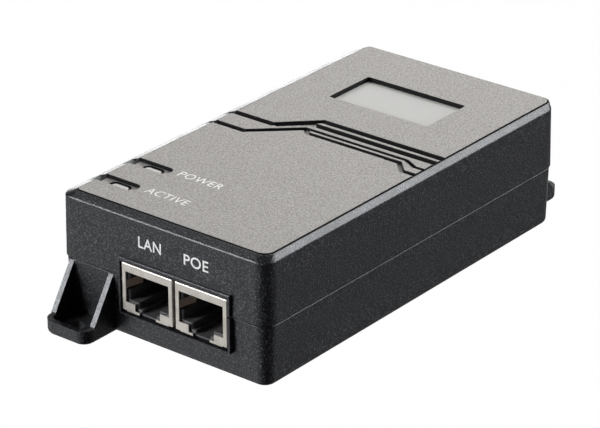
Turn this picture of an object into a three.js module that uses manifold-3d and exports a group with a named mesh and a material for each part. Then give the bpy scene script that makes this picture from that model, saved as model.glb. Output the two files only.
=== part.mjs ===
// A two-port power-over-Ethernet injector: a black two-part plastic case with a grey
// inlaid top panel, a screw ear at each end, two shielded 8-way sockets in front,
// a mains inlet behind, and the power-supply board inside.
// Millimetres. +X is to the right seen from the front, +Y runs to the rear, +Z is up.
// The origin is at the centre of the underside.

import * as THREE from "three";
import { mergeVertices } from "three/addons/utils/BufferGeometryUtils.js";
import Module from "manifold-3d";

const wasm = await Module();
wasm.setup();

// ---------------------------------------------------------------- driving dimensions

const BODY_WIDTH = 64.8;
const BODY_LENGTH = 118.1;
const BODY_HEIGHT = 34.1;
const SEAM_Z = 16.2;
const SEAM_GAP = 0.35;
const CORNER_RADIUS = 4;
const GAP = 0.3;

// Upper case
const UPPER_WALL = 2;
const UPPER_DRAFT = 0.28;
const CHAMFER_DROP = 1.75;
const RIM_LAND = 0.2;
const ROOF_THICKNESS = 1.5;

// Lower case
const LOWER_STEP = 0.33;
const LOWER_DRAFT = 0.37;
const LOWER_WALL = 3;
const LOWER_FLOOR = 1.5;
const BOTTOM_FILLET = 1.7;
const TONGUE_WIDTH = 1;
const TONGUE_HEIGHT = 2.2;

// Top panel: its four edges, measured from the body's centre line and front face
const PANEL_LEFT = -28.1;
const PANEL_RIGHT = 30.6;
const PANEL_FRONT = 2.35;
const PANEL_BACK = 117.4;
const PANEL_RADII = [1, 2.6, 2.6, 0.9];
const PANEL_THICKNESS = 2;

// Relief of the top panel
const GROOVE_DEPTH = 1.2;
const FINE_GROOVE_DEPTH = 0.9;
const LABEL_WINDOW = { x0: -15.2, x1: 15.8, front: 83.8, back: 100.4, depth: 1.5 };
const LABEL_THICKNESS = 0.25;
const SLOT_END = -16.6;
const SLOT_WIDTH = 3.9;
const SLOT_DEPTH = 1.1;
const SLOT_CENTRES = { power: 23.3, active: 11.25 };
const LENS = { x0: -25, x1: -19.6, width: 2.6, drop: 0.35 };

// Front sockets: shield sizes, and the raised frame round the pair
const JACK_WIDTH = 16;
const JACK_HEIGHT = 12.95;
const JACK_DEPTH = 19;
const JACK_BOTTOM = 7.65;
const JACK_FRONT = -0.5;
const JACK_CENTRES = { lan: -3.9, poe: 12.8 };
const SHIELD_SHEET = 0.45;
const INSERT_INSET = SHIELD_SHEET + 0.25;
const INSERT_DEPTH = 17.5;
const PLUG_DEPTH = 13;
const SPRING = { z0: 14.6, z1: 17.1, length: 5, lean: 1.1, sheet: 0.35, roomInner: 5, roomOuter: 7.15 };
const FRAME_PROUD = 0.8;
const FRAME = { x0: -12.9, x1: 21.9, z0: 6.75, z1: 22 };
const PORT_WINDOW = { x0: -12.2, x1: 21.1, z0: 7.2, z1: 20.9 };

// Right halves of the stepped openings for a plug and its latch: the one in the metal face,
// and the one in the plastic insert. Each point is [distance from the middle, height]
const FACE_OPENING = [[6.75, 18.45], [6.75, 10.35], [3.9, 10.35], [3.9, 8.5], [2.6, 8.5], [2.6, 2.65]];
const PLUG_SPACE = [[5.95, 18.1], [5.95, 10.8], [3.2, 10.8], [3.2, 9.2], [2.1, 9.2], [2.1, 8.3]];

// Contact wires
const CONTACT_COUNT = 8;
const CONTACT_PITCH = 1.02;
const CONTACT_WIDTH = 0.4;

// Rear mains inlet
const INLET_CENTRE_X = -6;
const INLET_WIDTH = 27.6;
const INLET_BOTTOM = 7.9;
const INLET_HEIGHT = 19.6;
const INLET_DEPTH = 22;
const INLET_CAVITY = { width: 24.4, height: 16.4, depth: 16.5, bevel: 4 };
const PIN_PITCH = 7;
const PIN = { halfWidth: 1, halfHeight: 2, recess: 2.5 };
const PINS = {
  line: { x: PIN_PITCH, z: -2 },
  neutral: { x: -PIN_PITCH, z: -2 },
  earth: { x: 0, z: 2 },
};

// Screw ears, on the front and rear faces: reach, foot and hole are measured out from
// the face to the rim, to the low end of the gussets and to the middle of the hole
const FRONT_EAR = { centre: -22.35, reach: 10.3, foot: 6.9, hole: 5.4 };
const REAR_EAR = { centre: 18.15, reach: 12.9, foot: 9.5, hole: 8 };
const EAR_WIDTH = 14.1;
const EAR_WALL = 1.45;
const EAR_FLOOR = 2.2;
const EAR_RIM_HEIGHT = 3.9;
const EAR_RADIUS = 3.2;
const EAR_BOTTOM_CHAMFER = 1.1;
const EAR_HOLE_RADIUS = 2.1;

// Case screws and the board
const SCREW_X = 26.6;
const SCREW_INSET = 6;
const SCREW = { headRadius: 2.4, headBottom: 0.6, headTop: 2.4, shankRadius: 1.2, shankTop: 22 };
const SCREW_RECESS = { arm: 1.4, slit: 0.3, top: 1.6 };
const SCREW_SEAT = { radius: 2.7, top: 2.6, holeRadius: 1.6 };
const BOSS_RADIUS = 3.2;
const BOARD_TOP = 7.4;
const BOARD_THICKNESS = 1.6;
const BOARD_HALF_WIDTH = 28;
const BOARD_NOTCH = 1.3;

// Label recess in the underside
const RATING = { halfWidth: 21, front: 40, back: 80, recess: 0.45, thickness: 0.25, margin: 0.3 };

// Transformer: a core with two windows round a middle limb
const TRANSFORMER = { x: -1, back: 64, width: 27, length: 23, height: 19 };
const CORE_WALL = { side: 3.5, top: 3, halfLimb: 4.5 };

const WHOLE_LENGTH = FRONT_EAR.reach + BODY_LENGTH + REAR_EAR.reach;
const FRONT_Y = FRONT_EAR.reach - WHOLE_LENGTH / 2;
const REAR_Y = FRONT_Y + BODY_LENGTH;
const BODY_MIDDLE_Y = (FRONT_Y + REAR_Y) / 2;
const ROOF_TOP = BODY_HEIGHT - PANEL_THICKNESS - GAP;
const CAVITY_TOP = ROOF_TOP - ROOF_THICKNESS;
const UPPER_BOTTOM = SEAM_Z + SEAM_GAP / 2;
const LOWER_TOP = SEAM_Z - SEAM_GAP / 2;
const CORNER_STEPS = 6;
const ROUND_STEPS = 24;
const CLEAR = 5;
const INLET_MIDDLE_Z = INLET_BOTTOM + INLET_HEIGHT / 2;
const STAND = BOARD_TOP + GAP;

// ---------------------------------------------------------------- materials

const finish = (color, roughness, metalness = 0) =>
  new THREE.MeshStandardMaterial({ color, roughness, metalness });

const materials = {
  casePlastic: finish(0x2b2c2f, 0.55),
  panelGrey: finish(0xaaa8a4, 0.6),
  labelPaper: finish(0xcbcbc8, 0.5),
  nickel: finish(0xcdc8c0, 0.35, 0.9),
  gold: finish(0xc9a24b, 0.3, 1),
  blackNylon: finish(0x161719, 0.5),
  lightPipe: finish(0xf2f2ee, 0.2),
  led: finish(0xe8ecd8, 0.3),
  board: finish(0x2f6b43, 0.5),
  brass: finish(0xc8b070, 0.35, 1),
  steel: finish(0x8d9094, 0.4, 1),
  aluminium: finish(0xb9bcc0, 0.4, 1),
  ferrite: finish(0x3a3b3f, 0.7),
  tapeYellow: finish(0xd9b23a, 0.5),
  copper: finish(0xb5652f, 0.4, 0.9),
  filmYellow: finish(0xe0c04a, 0.5),
  discBlue: finish(0x2f5f9e, 0.5),
  sleeveBlack: finish(0x1c1e22, 0.45),
  epoxyBlack: finish(0x202226, 0.6),
  glass: finish(0xdfe6e8, 0.1),
  fishPaper: finish(0xe9e3cf, 0.8),
};

// ---------------------------------------------------------------- solids and outlines

// Distance behind the front face, as a Y coordinate
function fromFront(distance) {
  return FRONT_Y + distance;
}

// A closed three.js geometry as a solid that can be joined and cut
function solid(geometry) {
  const bare = geometry.clone();
  bare.deleteAttribute("normal");
  bare.deleteAttribute("uv");
  const merged = mergeVertices(bare, 1e-4);
  const mesh = new wasm.Mesh({
    numProp: 3,
    vertProperties: new Float32Array(merged.attributes.position.array),
    triVerts: new Uint32Array(merged.index.array),
  });
  return new wasm.Manifold(mesh);
}

function geometryOf(body) {
  const mesh = body.getMesh();
  const geometry = new THREE.BufferGeometry();
  geometry.setAttribute("position", new THREE.BufferAttribute(mesh.vertProperties, 3));
  geometry.setIndex(new THREE.BufferAttribute(mesh.triVerts, 1));
  geometry.computeVertexNormals();
  return geometry;
}

const join = (bodies) => bodies.reduce((whole, body) => whole.add(body));
const cut = (body, cutters) => cutters.reduce((rest, cutter) => rest.subtract(cutter), body);

// A block between two places along each axis, given in either order
function box(x0, x1, y0, y1, z0, z1) {
  const geometry = new THREE.BoxGeometry(Math.abs(x1 - x0), Math.abs(y1 - y0), Math.abs(z1 - z0));
  geometry.translate((x0 + x1) / 2, (y0 + y1) / 2, (z0 + z1) / 2);
  return solid(geometry);
}

// An upright cylinder
function post(x, y, z0, z1, radius, steps = ROUND_STEPS) {
  const geometry = new THREE.CylinderGeometry(radius, radius, z1 - z0, steps);
  geometry.rotateX(Math.PI / 2);
  geometry.translate(x, y, (z0 + z1) / 2);
  return solid(geometry);
}

// A solid of revolution about an upright axis; the profile is [radius, height] pairs
function turned(x, y, profile, steps = ROUND_STEPS) {
  const points = profile.map(([radius, height]) => new THREE.Vector2(radius, height));
  const geometry = new THREE.LatheGeometry(points, steps);
  geometry.rotateX(Math.PI / 2);
  geometry.translate(x, y, 0);
  return solid(geometry);
}

const shapeOf = (points) => new THREE.Shape(points.map(([a, b]) => new THREE.Vector2(a, b)));

// A plan outline pulled up from z0 to z1
function prism(points, z0, z1) {
  const geometry = new THREE.ExtrudeGeometry(shapeOf(points), { depth: z1 - z0, bevelEnabled: false });
  geometry.translate(0, 0, z0);
  return solid(geometry);
}

// A front-view outline of [x, z] pairs, carried from y0 back to y1
function frontPrism(points, y0, y1) {
  const geometry = new THREE.ExtrudeGeometry(shapeOf(points), { depth: y1 - y0, bevelEnabled: false });
  geometry.rotateX(Math.PI / 2);
  geometry.translate(0, y1, 0);
  return solid(geometry);
}

// A side-view outline of [y, z] pairs, carried across from x0 to x1
function sidePrism(points, x0, x1) {
  const geometry = new THREE.ExtrudeGeometry(shapeOf(points), { depth: x1 - x0, bevelEnabled: false });
  const sideways = new THREE.Matrix4().makeBasis(
    new THREE.Vector3(0, 1, 0),
    new THREE.Vector3(0, 0, 1),
    new THREE.Vector3(1, 0, 0),
  );
  geometry.applyMatrix4(sideways);
  geometry.translate(x0, 0, 0);
  return solid(geometry);
}

// A plan rectangle with a radius of its own at each corner, counter-clockwise
// from the front left
function roundedOutline({ x0, x1, y0, y1, radii }) {
  const [frontLeft, frontRight, backRight, backLeft] = radii;
  const corners = [
    [x0 + frontLeft, y0 + frontLeft, frontLeft],
    [x1 - frontRight, y0 + frontRight, frontRight],
    [x1 - backRight, y1 - backRight, backRight],
    [x0 + backLeft, y1 - backLeft, backLeft],
  ];
  return corners.flatMap(([x, y, radius], corner) =>
    Array.from({ length: CORNER_STEPS + 1 }, (_, step) => {
      const angle = Math.PI + (Math.PI / 2) * (corner + step / CORNER_STEPS);
      return [x + radius * Math.cos(angle), y + radius * Math.sin(angle)];
    }),
  );
}

// The body's plan outline, pulled in by a distance all round
function bodyOutline(inset) {
  const radius = Math.max(CORNER_RADIUS - inset, 0.8);
  return roundedOutline({
    x0: -BODY_WIDTH / 2 + inset,
    x1: BODY_WIDTH / 2 - inset,
    y0: fromFront(inset),
    y1: fromFront(BODY_LENGTH - inset),
    radii: [radius, radius, radius, radius],
  });
}

// The top panel's plan outline, let out by a margin all round
function panelOutline(margin) {
  return roundedOutline({
    x0: PANEL_LEFT - margin,
    x1: PANEL_RIGHT + margin,
    y0: fromFront(PANEL_FRONT - margin),
    y1: fromFront(PANEL_BACK + margin),
    radii: PANEL_RADII.map((radius) => radius + margin),
  });
}

// A closed skin through matching plan outlines at rising heights
function loft(sections) {
  const count = sections[0].outline.length;
  const positions = sections.flatMap(({ z, outline }) => outline.flatMap(([x, y]) => [x, y, z]));
  const index = [];
  for (let level = 0; level + 1 < sections.length; level += 1) {
    for (let i = 0; i < count; i += 1) {
      const a = level * count + i;
      const b = level * count + ((i + 1) % count);
      index.push(a, b, b + count, a, b + count, a + count);
    }
  }
  const last = (sections.length - 1) * count;
  for (let i = 1; i + 1 < count; i += 1) {
    index.push(0, i + 1, i);
    index.push(last, last + i, last + i + 1);
  }
  const geometry = new THREE.BufferGeometry();
  geometry.setAttribute("position", new THREE.BufferAttribute(new Float32Array(positions), 3));
  geometry.setIndex(index);
  return solid(geometry);
}

// The plan outline of a channel that follows a bent line with mitred bends
function channelOutline(line, width) {
  const side = (sign) =>
    line.map(([x, y], i) => {
      const [px, py] = line[Math.max(i - 1, 0)];
      const [nx, ny] = line[Math.min(i + 1, line.length - 1)];
      const into = new THREE.Vector2(x - px, y - py).normalize();
      const out = new THREE.Vector2(nx - x, ny - y).normalize();
      const along = into.clone().add(out).normalize();
      const lead = into.lengthSq() > 0 ? into : out;
      const reach = width / 2 / Math.max(along.dot(lead), 0.5);
      return [x - sign * along.y * reach, y + sign * along.x * reach];
    });
  return [...side(-1), ...side(1).reverse()];
}

// ---------------------------------------------------------------- shared cutters

// Grooves of the top panel: [x, distance behind the front face], width and depth
const GROOVES = [
  { line: [[-36, 61.3], [-15.6, 61.3], [-6.4, 70.3], [36, 70.3]], width: 2, depth: GROOVE_DEPTH },
  { line: [[-14.7, 61.4], [-7.6, 67.2], [36, 67.2]], width: 2, depth: GROOVE_DEPTH },
  { line: [[-36, 53.7], [-18.6, 53.7], [-6.9, 64.3]], width: 1.8, depth: GROOVE_DEPTH },
  {
    line: [[-7.6, 64.3], [24.1, 64.3], [27.9, 62.3], [36, 62.3]],
    width: 1.1,
    depth: FINE_GROOVE_DEPTH,
  },
  {
    line: [[-6.6, 63.7], [-5.2, 62.2], [23.4, 62.2], [26.8, 58.7], [36, 58.7]],
    width: 1.3,
    depth: FINE_GROOVE_DEPTH,
  },
];

function grooveCutters() {
  return GROOVES.map(({ line, width, depth }) => {
    const placed = line.map(([x, back]) => [x, fromFront(back)]);
    return prism(channelOutline(placed, width), BODY_HEIGHT - depth, BODY_HEIGHT + CLEAR);
  });
}

// Indicator slots: each runs in from the left edge to a round end
function slotCutters() {
  const half = SLOT_WIDTH / 2;
  return Object.values(SLOT_CENTRES).map((centre) => {
    const outline = roundedOutline({
      x0: -BODY_WIDTH / 2 - CLEAR,
      x1: SLOT_END,
      y0: fromFront(centre - half),
      y1: fromFront(centre + half),
      radii: [0.1, 1.5, 1.5, 0.1],
    });
    return prism(outline, BODY_HEIGHT - SLOT_DEPTH, BODY_HEIGHT + CLEAR);
  });
}

function lensOutline(centre, margin) {
  const half = LENS.width / 2 + margin;
  return roundedOutline({
    x0: LENS.x0 - margin,
    x1: LENS.x1 + margin,
    y0: fromFront(centre - half),
    y1: fromFront(centre + half),
    radii: Array(4).fill(half * 0.9),
  });
}

function lensHoleCutters() {
  const margin = 0.2;
  return Object.values(SLOT_CENTRES).map((centre) =>
    prism(lensOutline(centre, margin), CAVITY_TOP - CLEAR, BODY_HEIGHT + CLEAR));
}

const screwPlaces = [
  [-SCREW_X, fromFront(SCREW_INSET)],
  [SCREW_X, fromFront(SCREW_INSET)],
  [-SCREW_X, fromFront(BODY_LENGTH - SCREW_INSET)],
  [SCREW_X, fromFront(BODY_LENGTH - SCREW_INSET)],
];

// The hole for the pair of front sockets, and the raised frame round it
function portWindowCutter() {
  const { x0, x1, z0, z1 } = PORT_WINDOW;
  return box(x0, x1, fromFront(-CLEAR), fromFront(LOWER_WALL + CLEAR), z0, z1);
}

function portFrame(z0, z1) {
  return box(FRAME.x0, FRAME.x1, fromFront(-FRAME_PROUD), fromFront(1), z0, z1);
}

function inletCutter() {
  const half = INLET_WIDTH / 2 + GAP;
  const z0 = INLET_BOTTOM - GAP;
  const z1 = INLET_BOTTOM + INLET_HEIGHT + GAP;
  const y0 = fromFront(BODY_LENGTH - LOWER_WALL - CLEAR);
  const y1 = fromFront(BODY_LENGTH + CLEAR);
  return box(INLET_CENTRE_X - half, INLET_CENTRE_X + half, y0, y1, z0, z1);
}

// ---------------------------------------------------------------- case

function upperCase() {
  const shoulder = BODY_HEIGHT - CHAMFER_DROP;
  const outer = loft([
    { z: UPPER_BOTTOM, outline: bodyOutline(0) },
    { z: shoulder, outline: bodyOutline(UPPER_DRAFT) },
    { z: BODY_HEIGHT - 0.1, outline: panelOutline(GAP + RIM_LAND) },
  ]);
  const cavity = loft([
    { z: UPPER_BOTTOM - CLEAR, outline: bodyOutline(UPPER_WALL) },
    { z: CAVITY_TOP, outline: bodyOutline(UPPER_WALL + UPPER_DRAFT) },
  ]);
  const panelPocket = prism(panelOutline(GAP), ROOF_TOP, BODY_HEIGHT + CLEAR);
  const shell = cut(outer, [cavity, panelPocket]);
  const pillars = screwPlaces.map(([x, y]) => post(x, y, UPPER_BOTTOM, CAVITY_TOP + 0.5, BOSS_RADIUS));
  const pilots = screwPlaces.map(([x, y]) => post(x, y, UPPER_BOTTOM - CLEAR, UPPER_BOTTOM + 9, 1.5, 12));
  const whole = join([shell, portFrame(UPPER_BOTTOM, FRAME.z1), ...pillars]);
  // The grooves run out through the left rim and stop short of the right one
  const leftHalf = box(-BODY_WIDTH, 0, FRONT_Y, REAR_Y, 0, BODY_HEIGHT + CLEAR);
  const leftGrooves = grooveCutters().map((cutter) => cutter.intersect(leftHalf));
  return cut(whole, [
    ...pilots,
    ...leftGrooves,
    ...slotCutters(),
    ...lensHoleCutters(),
    portWindowCutter(),
    inletCutter(),
  ]);
}

function topPanel() {
  const { x0, x1, front, back, depth } = LABEL_WINDOW;
  const plate = prism(panelOutline(0), BODY_HEIGHT - PANEL_THICKNESS, BODY_HEIGHT);
  const window = roundedOutline({
    x0,
    x1,
    y0: fromFront(front),
    y1: fromFront(back),
    radii: [0.5, 0.5, 0.5, 0.5],
  });
  return cut(plate, [
    prism(window, BODY_HEIGHT - depth, BODY_HEIGHT + CLEAR),
    ...grooveCutters(),
    ...slotCutters(),
    ...lensHoleCutters(),
  ]);
}

function windowLabel() {
  const { x0, x1, front, back, depth } = LABEL_WINDOW;
  const margin = 0.15;
  const floor = BODY_HEIGHT - depth + 0.05;
  const outline = roundedOutline({
    x0: x0 + margin,
    x1: x1 - margin,
    y0: fromFront(front + margin),
    y1: fromFront(back - margin),
    radii: [0.4, 0.4, 0.4, 0.4],
  });
  return prism(outline, floor, floor + LABEL_THICKNESS);
}

// A screw ear on the front face: floor with a hole, a low rim, and a sloping gusset
// on each side that rises to the seam
function frontFaceEar({ centre, reach, foot, hole }) {
  const y = (out) => fromFront(-out);
  const gussetTop = LOWER_TOP - 0.3;
  const slope = [
    [y(-1), 0],
    [y(-1), gussetTop],
    [y(-LOWER_STEP), gussetTop],
    [y(foot), EAR_RIM_HEIGHT + 0.4],
    [y(foot), EAR_RIM_HEIGHT],
    [y(reach), EAR_RIM_HEIGHT],
    [y(reach), 0],
  ];
  const side = sidePrism(slope, centre - EAR_WIDTH / 2, centre + EAR_WIDTH / 2);
  const plan = (margin, back) => roundedOutline({
    x0: centre - EAR_WIDTH / 2 + margin,
    x1: centre + EAR_WIDTH / 2 - margin,
    y0: y(reach - margin),
    y1: y(back),
    radii: [EAR_RADIUS - margin, EAR_RADIUS - margin, 0.1, 0.1],
  });
  const outside = loft([
    { z: 0, outline: plan(EAR_BOTTOM_CHAMFER, -1) },
    { z: EAR_BOTTOM_CHAMFER / 2, outline: plan(EAR_BOTTOM_CHAMFER * 0.3, -1) },
    { z: EAR_BOTTOM_CHAMFER, outline: plan(0, -1) },
    { z: BODY_HEIGHT, outline: plan(0, -1) },
  ]);
  const pocket = prism(plan(EAR_WALL, -LOWER_STEP), EAR_FLOOR, BODY_HEIGHT);
  const screwHole = post(centre, y(hole), -CLEAR, EAR_FLOOR + 1, EAR_HOLE_RADIUS);
  return cut(side.intersect(outside), [pocket, screwHole]);
}

// The same kind of ear on the rear face: a front one turned half round the body's middle
function rearFaceEar(place) {
  const geometry = geometryOf(frontFaceEar({ ...place, centre: -place.centre }));
  geometry.rotateZ(Math.PI);
  geometry.translate(0, 2 * BODY_MIDDLE_Y, 0);
  return solid(geometry);
}

function lowerCase() {
  const base = LOWER_STEP + LOWER_DRAFT;
  const filletSteps = 5;
  const fillet = Array.from({ length: filletSteps + 1 }, (_, step) => {
    const angle = (Math.PI / 2) * (step / filletSteps);
    const inset = base + BOTTOM_FILLET * (1 - Math.sin(angle));
    return { z: BOTTOM_FILLET * (1 - Math.cos(angle)), outline: bodyOutline(inset) };
  });
  const outer = loft([...fillet, { z: LOWER_TOP, outline: bodyOutline(LOWER_STEP) }]);
  const tongue = prism(
    bodyOutline(LOWER_STEP + LOWER_WALL - TONGUE_WIDTH),
    LOWER_TOP - 1,
    LOWER_TOP + TONGUE_HEIGHT,
  );
  const cavity = loft([
    { z: LOWER_FLOOR, outline: bodyOutline(base + LOWER_WALL) },
    { z: LOWER_TOP + TONGUE_HEIGHT + 1, outline: bodyOutline(LOWER_STEP + LOWER_WALL) },
  ]);
  const clearOfPillars = screwPlaces.map(([x, y]) =>
    post(x, y, LOWER_TOP, LOWER_TOP + CLEAR, BOSS_RADIUS + GAP));
  const shell = cut(outer.add(tongue), [cavity, ...clearOfPillars]);
  const bosses = screwPlaces.map(([x, y]) => post(x, y, 0.5, LOWER_TOP, BOSS_RADIUS));
  const rests = [[-20, 22], [20, 22], [-20, 96], [23, 90]].map(([x, back]) =>
    post(x, fromFront(back), LOWER_FLOOR - 0.5, BOARD_TOP - BOARD_THICKNESS - GAP, 2, 12));
  const screwHoles = screwPlaces.flatMap(([x, y]) => [
    post(x, y, -CLEAR, SCREW_SEAT.top, SCREW_SEAT.radius),
    post(x, y, -CLEAR, SEAM_Z, SCREW_SEAT.holeRadius, 12),
  ]);
  const frame = portFrame(FRAME.z0, LOWER_TOP);
  // The inner half of the front wall is let down under the sockets for the board's edge
  const boardNotch = box(
    PORT_WINDOW.x0,
    PORT_WINDOW.x1,
    fromFront(BOARD_NOTCH),
    fromFront(LOWER_WALL + CLEAR),
    BOARD_TOP - BOARD_THICKNESS - GAP,
    PORT_WINDOW.z0 + 1,
  );
  const ears = [frontFaceEar(FRONT_EAR), rearFaceEar(REAR_EAR)];
  return cut(join([shell, frame, ...ears, ...bosses, ...rests]), [
    ...screwHoles,
    portWindowCutter(),
    boardNotch,
    inletCutter(),
    ratingRecess(),
  ]);
}

function ratingOutline(margin) {
  return roundedOutline({
    x0: -RATING.halfWidth - margin,
    x1: RATING.halfWidth + margin,
    y0: fromFront(RATING.front - margin),
    y1: fromFront(RATING.back + margin),
    radii: [1.5, 1.5, 1.5, 1.5],
  });
}

function ratingRecess() {
  return prism(ratingOutline(RATING.margin), -CLEAR, RATING.recess);
}

function ratingLabel() {
  const top = RATING.recess - 0.05;
  return prism(ratingOutline(0), top - RATING.thickness, top);
}

// Pan-head screw driven up from the underside, with a crossed recess in its head
function caseScrew(x, y) {
  const { headRadius, headBottom, headTop, shankRadius, shankTop } = SCREW;
  const head = post(x, y, headBottom, headTop, headRadius, 18);
  const shank = post(x, y, headTop - 0.1, shankTop, shankRadius, 10);
  const { arm, slit, top } = SCREW_RECESS;
  return cut(head.add(shank), [
    box(x - arm, x + arm, y - slit, y + slit, 0, top),
    box(x - slit, x + slit, y - arm, y + arm, 0, top),
  ]);
}

// ---------------------------------------------------------------- indicators

function lightPipe(centre) {
  return prism(lensOutline(centre, 0), 12, BODY_HEIGHT - SLOT_DEPTH + LENS.drop);
}

function indicatorLed(centre) {
  const x = (LENS.x0 + LENS.x1) / 2;
  const y = fromFront(centre);
  const body = box(x - 1.6, x + 1.6, y - 1, y + 1, STAND, STAND + 1.2);
  return body.add(post(x, y, STAND + 1, STAND + 3.2, 0.9, 16));
}

// ---------------------------------------------------------------- front sockets

// A left-right symmetric front outline from its right half
function symmetric(rightHalf, centre) {
  const leftHalf = rightHalf.map(([x, z]) => [-x, z]).reverse();
  return [...leftHalf, ...rightHalf].map(([x, z]) => [centre + x, z]).reverse();
}

// The leaf springs just inside the opening, one on each side of the plug
function springLeaf(centre, sign) {
  const [openingEdge] = FACE_OPENING[0];
  const start = centre + sign * openingEdge;
  const end = start - sign * SPRING.lean;
  const front = fromFront(JACK_FRONT + 0.1);
  const back = front + SPRING.length;
  const sheet = sign * SPRING.sheet;
  const outline = [[start + sheet, front], [end + sheet, back], [end, back], [start, front]];
  return prism(sign > 0 ? outline : outline.reverse(), SPRING.z0, SPRING.z1);
}

function jackShield(centre) {
  const x0 = centre - JACK_WIDTH / 2;
  const x1 = centre + JACK_WIDTH / 2;
  const y0 = fromFront(JACK_FRONT);
  const y1 = y0 + JACK_DEPTH;
  const top = JACK_BOTTOM + JACK_HEIGHT;
  const outer = box(x0, x1, y0, y1, JACK_BOTTOM, top);
  const hollow = box(
    x0 + SHIELD_SHEET,
    x1 - SHIELD_SHEET,
    y0 + SHIELD_SHEET,
    y1 + CLEAR,
    JACK_BOTTOM - CLEAR,
    top - SHIELD_SHEET,
  );
  const opening = frontPrism(symmetric(FACE_OPENING, centre), y0 - CLEAR, y0 + 2);
  const footNotches = [x0, x1 - 1.5].map((x) =>
    box(x - 0.01, x + 1.51, y0 - 1, y0 + 2, JACK_BOTTOM - 1, JACK_BOTTOM + 0.45));
  const shell = cut(outer, [hollow, opening, ...footNotches]);
  return join([shell, springLeaf(centre, -1), springLeaf(centre, 1)]);
}

function jackInsert(centre) {
  const half = JACK_WIDTH / 2 - INSERT_INSET;
  const y0 = fromFront(JACK_FRONT + INSERT_INSET);
  const top = JACK_BOTTOM + JACK_HEIGHT - INSERT_INSET;
  const body = box(centre - half, centre + half, y0, y0 + INSERT_DEPTH, JACK_BOTTOM + 0.1, top);
  const space = frontPrism(symmetric(PLUG_SPACE, centre), y0 - CLEAR, y0 + PLUG_DEPTH);
  const contactChannel = box(centre - 5, centre + 5, y0 + 1, y0 + PLUG_DEPTH + 2, 17.8, 19.4);
  const springRoom = [-1, 1].map((sign) =>
    box(
      centre + sign * SPRING.roomOuter,
      centre + sign * SPRING.roomInner,
      y0 - CLEAR,
      y0 + SPRING.length + 1,
      SPRING.z0 - GAP,
      SPRING.z1 + GAP,
    ));
  return cut(body, [space, contactChannel, ...springRoom]);
}

// Eight sprung wires on one carrier: each runs forward under the roof and
// turns back down into the plug's space
function jackContacts(centre) {
  const near = fromFront(2.2);
  const far = fromFront(14);
  const wirePath = [
    [near, 18.4],
    [far, 18.4],
    [far, 18.85],
    [near - 0.5, 18.85],
    [near - 0.5, 18.3],
    [near + 7, 15.75],
    [near + 7.1, 16.15],
  ];
  const wires = Array.from({ length: CONTACT_COUNT }, (_, i) => {
    const x = centre + (i - (CONTACT_COUNT - 1) / 2) * CONTACT_PITCH;
    return sidePrism(wirePath, x - CONTACT_WIDTH / 2, x + CONTACT_WIDTH / 2);
  });
  const carrier = box(centre - 4.4, centre + 4.4, far - 1.2, far, 18.35, 19);
  return join([carrier, ...wires]);
}

// ---------------------------------------------------------------- rear inlet

function inletHousing() {
  const half = INLET_WIDTH / 2;
  const body = box(
    INLET_CENTRE_X - half,
    INLET_CENTRE_X + half,
    REAR_Y - INLET_DEPTH,
    REAR_Y - 0.1,
    INLET_BOTTOM,
    INLET_BOTTOM + INLET_HEIGHT,
  );
  const w = INLET_CAVITY.width / 2;
  const h = INLET_CAVITY.height / 2;
  const b = INLET_CAVITY.bevel;
  const mouth = [[-w, -h], [w, -h], [w, h - b], [w - b, h], [b - w, h], [-w, h - b]];
  const placed = mouth.map(([x, z]) => [INLET_CENTRE_X + x, INLET_MIDDLE_Z + z]);
  const cavity = frontPrism(placed, REAR_Y - INLET_CAVITY.depth, REAR_Y + CLEAR);
  const pinHoles = Object.values(PINS).map((pin) => pinBlock(pin, GAP, INLET_DEPTH + 1, 0));
  return cut(body, [cavity, ...pinHoles]);
}

// A flat inlet pin, let out by a margin, between two depths behind the rear face
function pinBlock({ x, z }, margin, deep, shallow) {
  const halfWidth = PIN.halfWidth + margin;
  const halfHeight = PIN.halfHeight + margin;
  const middleX = INLET_CENTRE_X + x;
  const middleZ = INLET_MIDDLE_Z + z;
  return box(
    middleX - halfWidth,
    middleX + halfWidth,
    REAR_Y - deep,
    REAR_Y - shallow,
    middleZ - halfHeight,
    middleZ + halfHeight,
  );
}

// ---------------------------------------------------------------- board and its parts

function mainBoard() {
  const z0 = BOARD_TOP - BOARD_THICKNESS;
  const plate = box(-BOARD_HALF_WIDTH, BOARD_HALF_WIDTH, fromFront(3.9), fromFront(113.8), z0, BOARD_TOP);
  const tongue = box(
    PORT_WINDOW.x0 + GAP,
    PORT_WINDOW.x1 - GAP,
    fromFront(BOARD_NOTCH + GAP),
    fromFront(5),
    z0,
    BOARD_TOP,
  );
  const reliefs = screwPlaces.map(([x, y]) => post(x, y, z0 - 1, BOARD_TOP + 1, BOSS_RADIUS + GAP));
  const corners = screwPlaces.map(([x, y]) => {
    const outX = Math.sign(x) * (BOARD_HALF_WIDTH + 1);
    const outY = y < BODY_MIDDLE_Y ? FRONT_Y : REAR_Y;
    return box(x, outX, y, outY, 0, BOARD_TOP + 1);
  });
  return cut(plate.add(tongue), [...reliefs, ...corners]);
}

// A block that stands on the board
function boardBlock(x, back, width, length, height) {
  const y = fromFront(back);
  return box(x - width / 2, x + width / 2, y - length / 2, y + length / 2, STAND, STAND + height);
}

// A can with a rolled shoulder and a shallow vent cross in its top
function capacitorCan(x, back, radius, height) {
  const y = fromFront(back);
  const top = STAND + height;
  const profile = [
    [0, STAND],
    [radius, STAND],
    [radius, STAND + 1.2],
    [radius - 0.4, STAND + 1.7],
    [radius, STAND + 2.2],
    [radius, top - 0.5],
    [radius - 0.5, top],
    [0, top],
  ];
  const vent = radius * 0.5;
  return cut(turned(x, y, profile), [
    box(x - vent, x + vent, y - 0.2, y + 0.2, top - 0.3, top + 1),
    box(x - 0.2, x + 0.2, y - vent, y + vent, top - 0.3, top + 1),
  ]);
}

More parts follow.
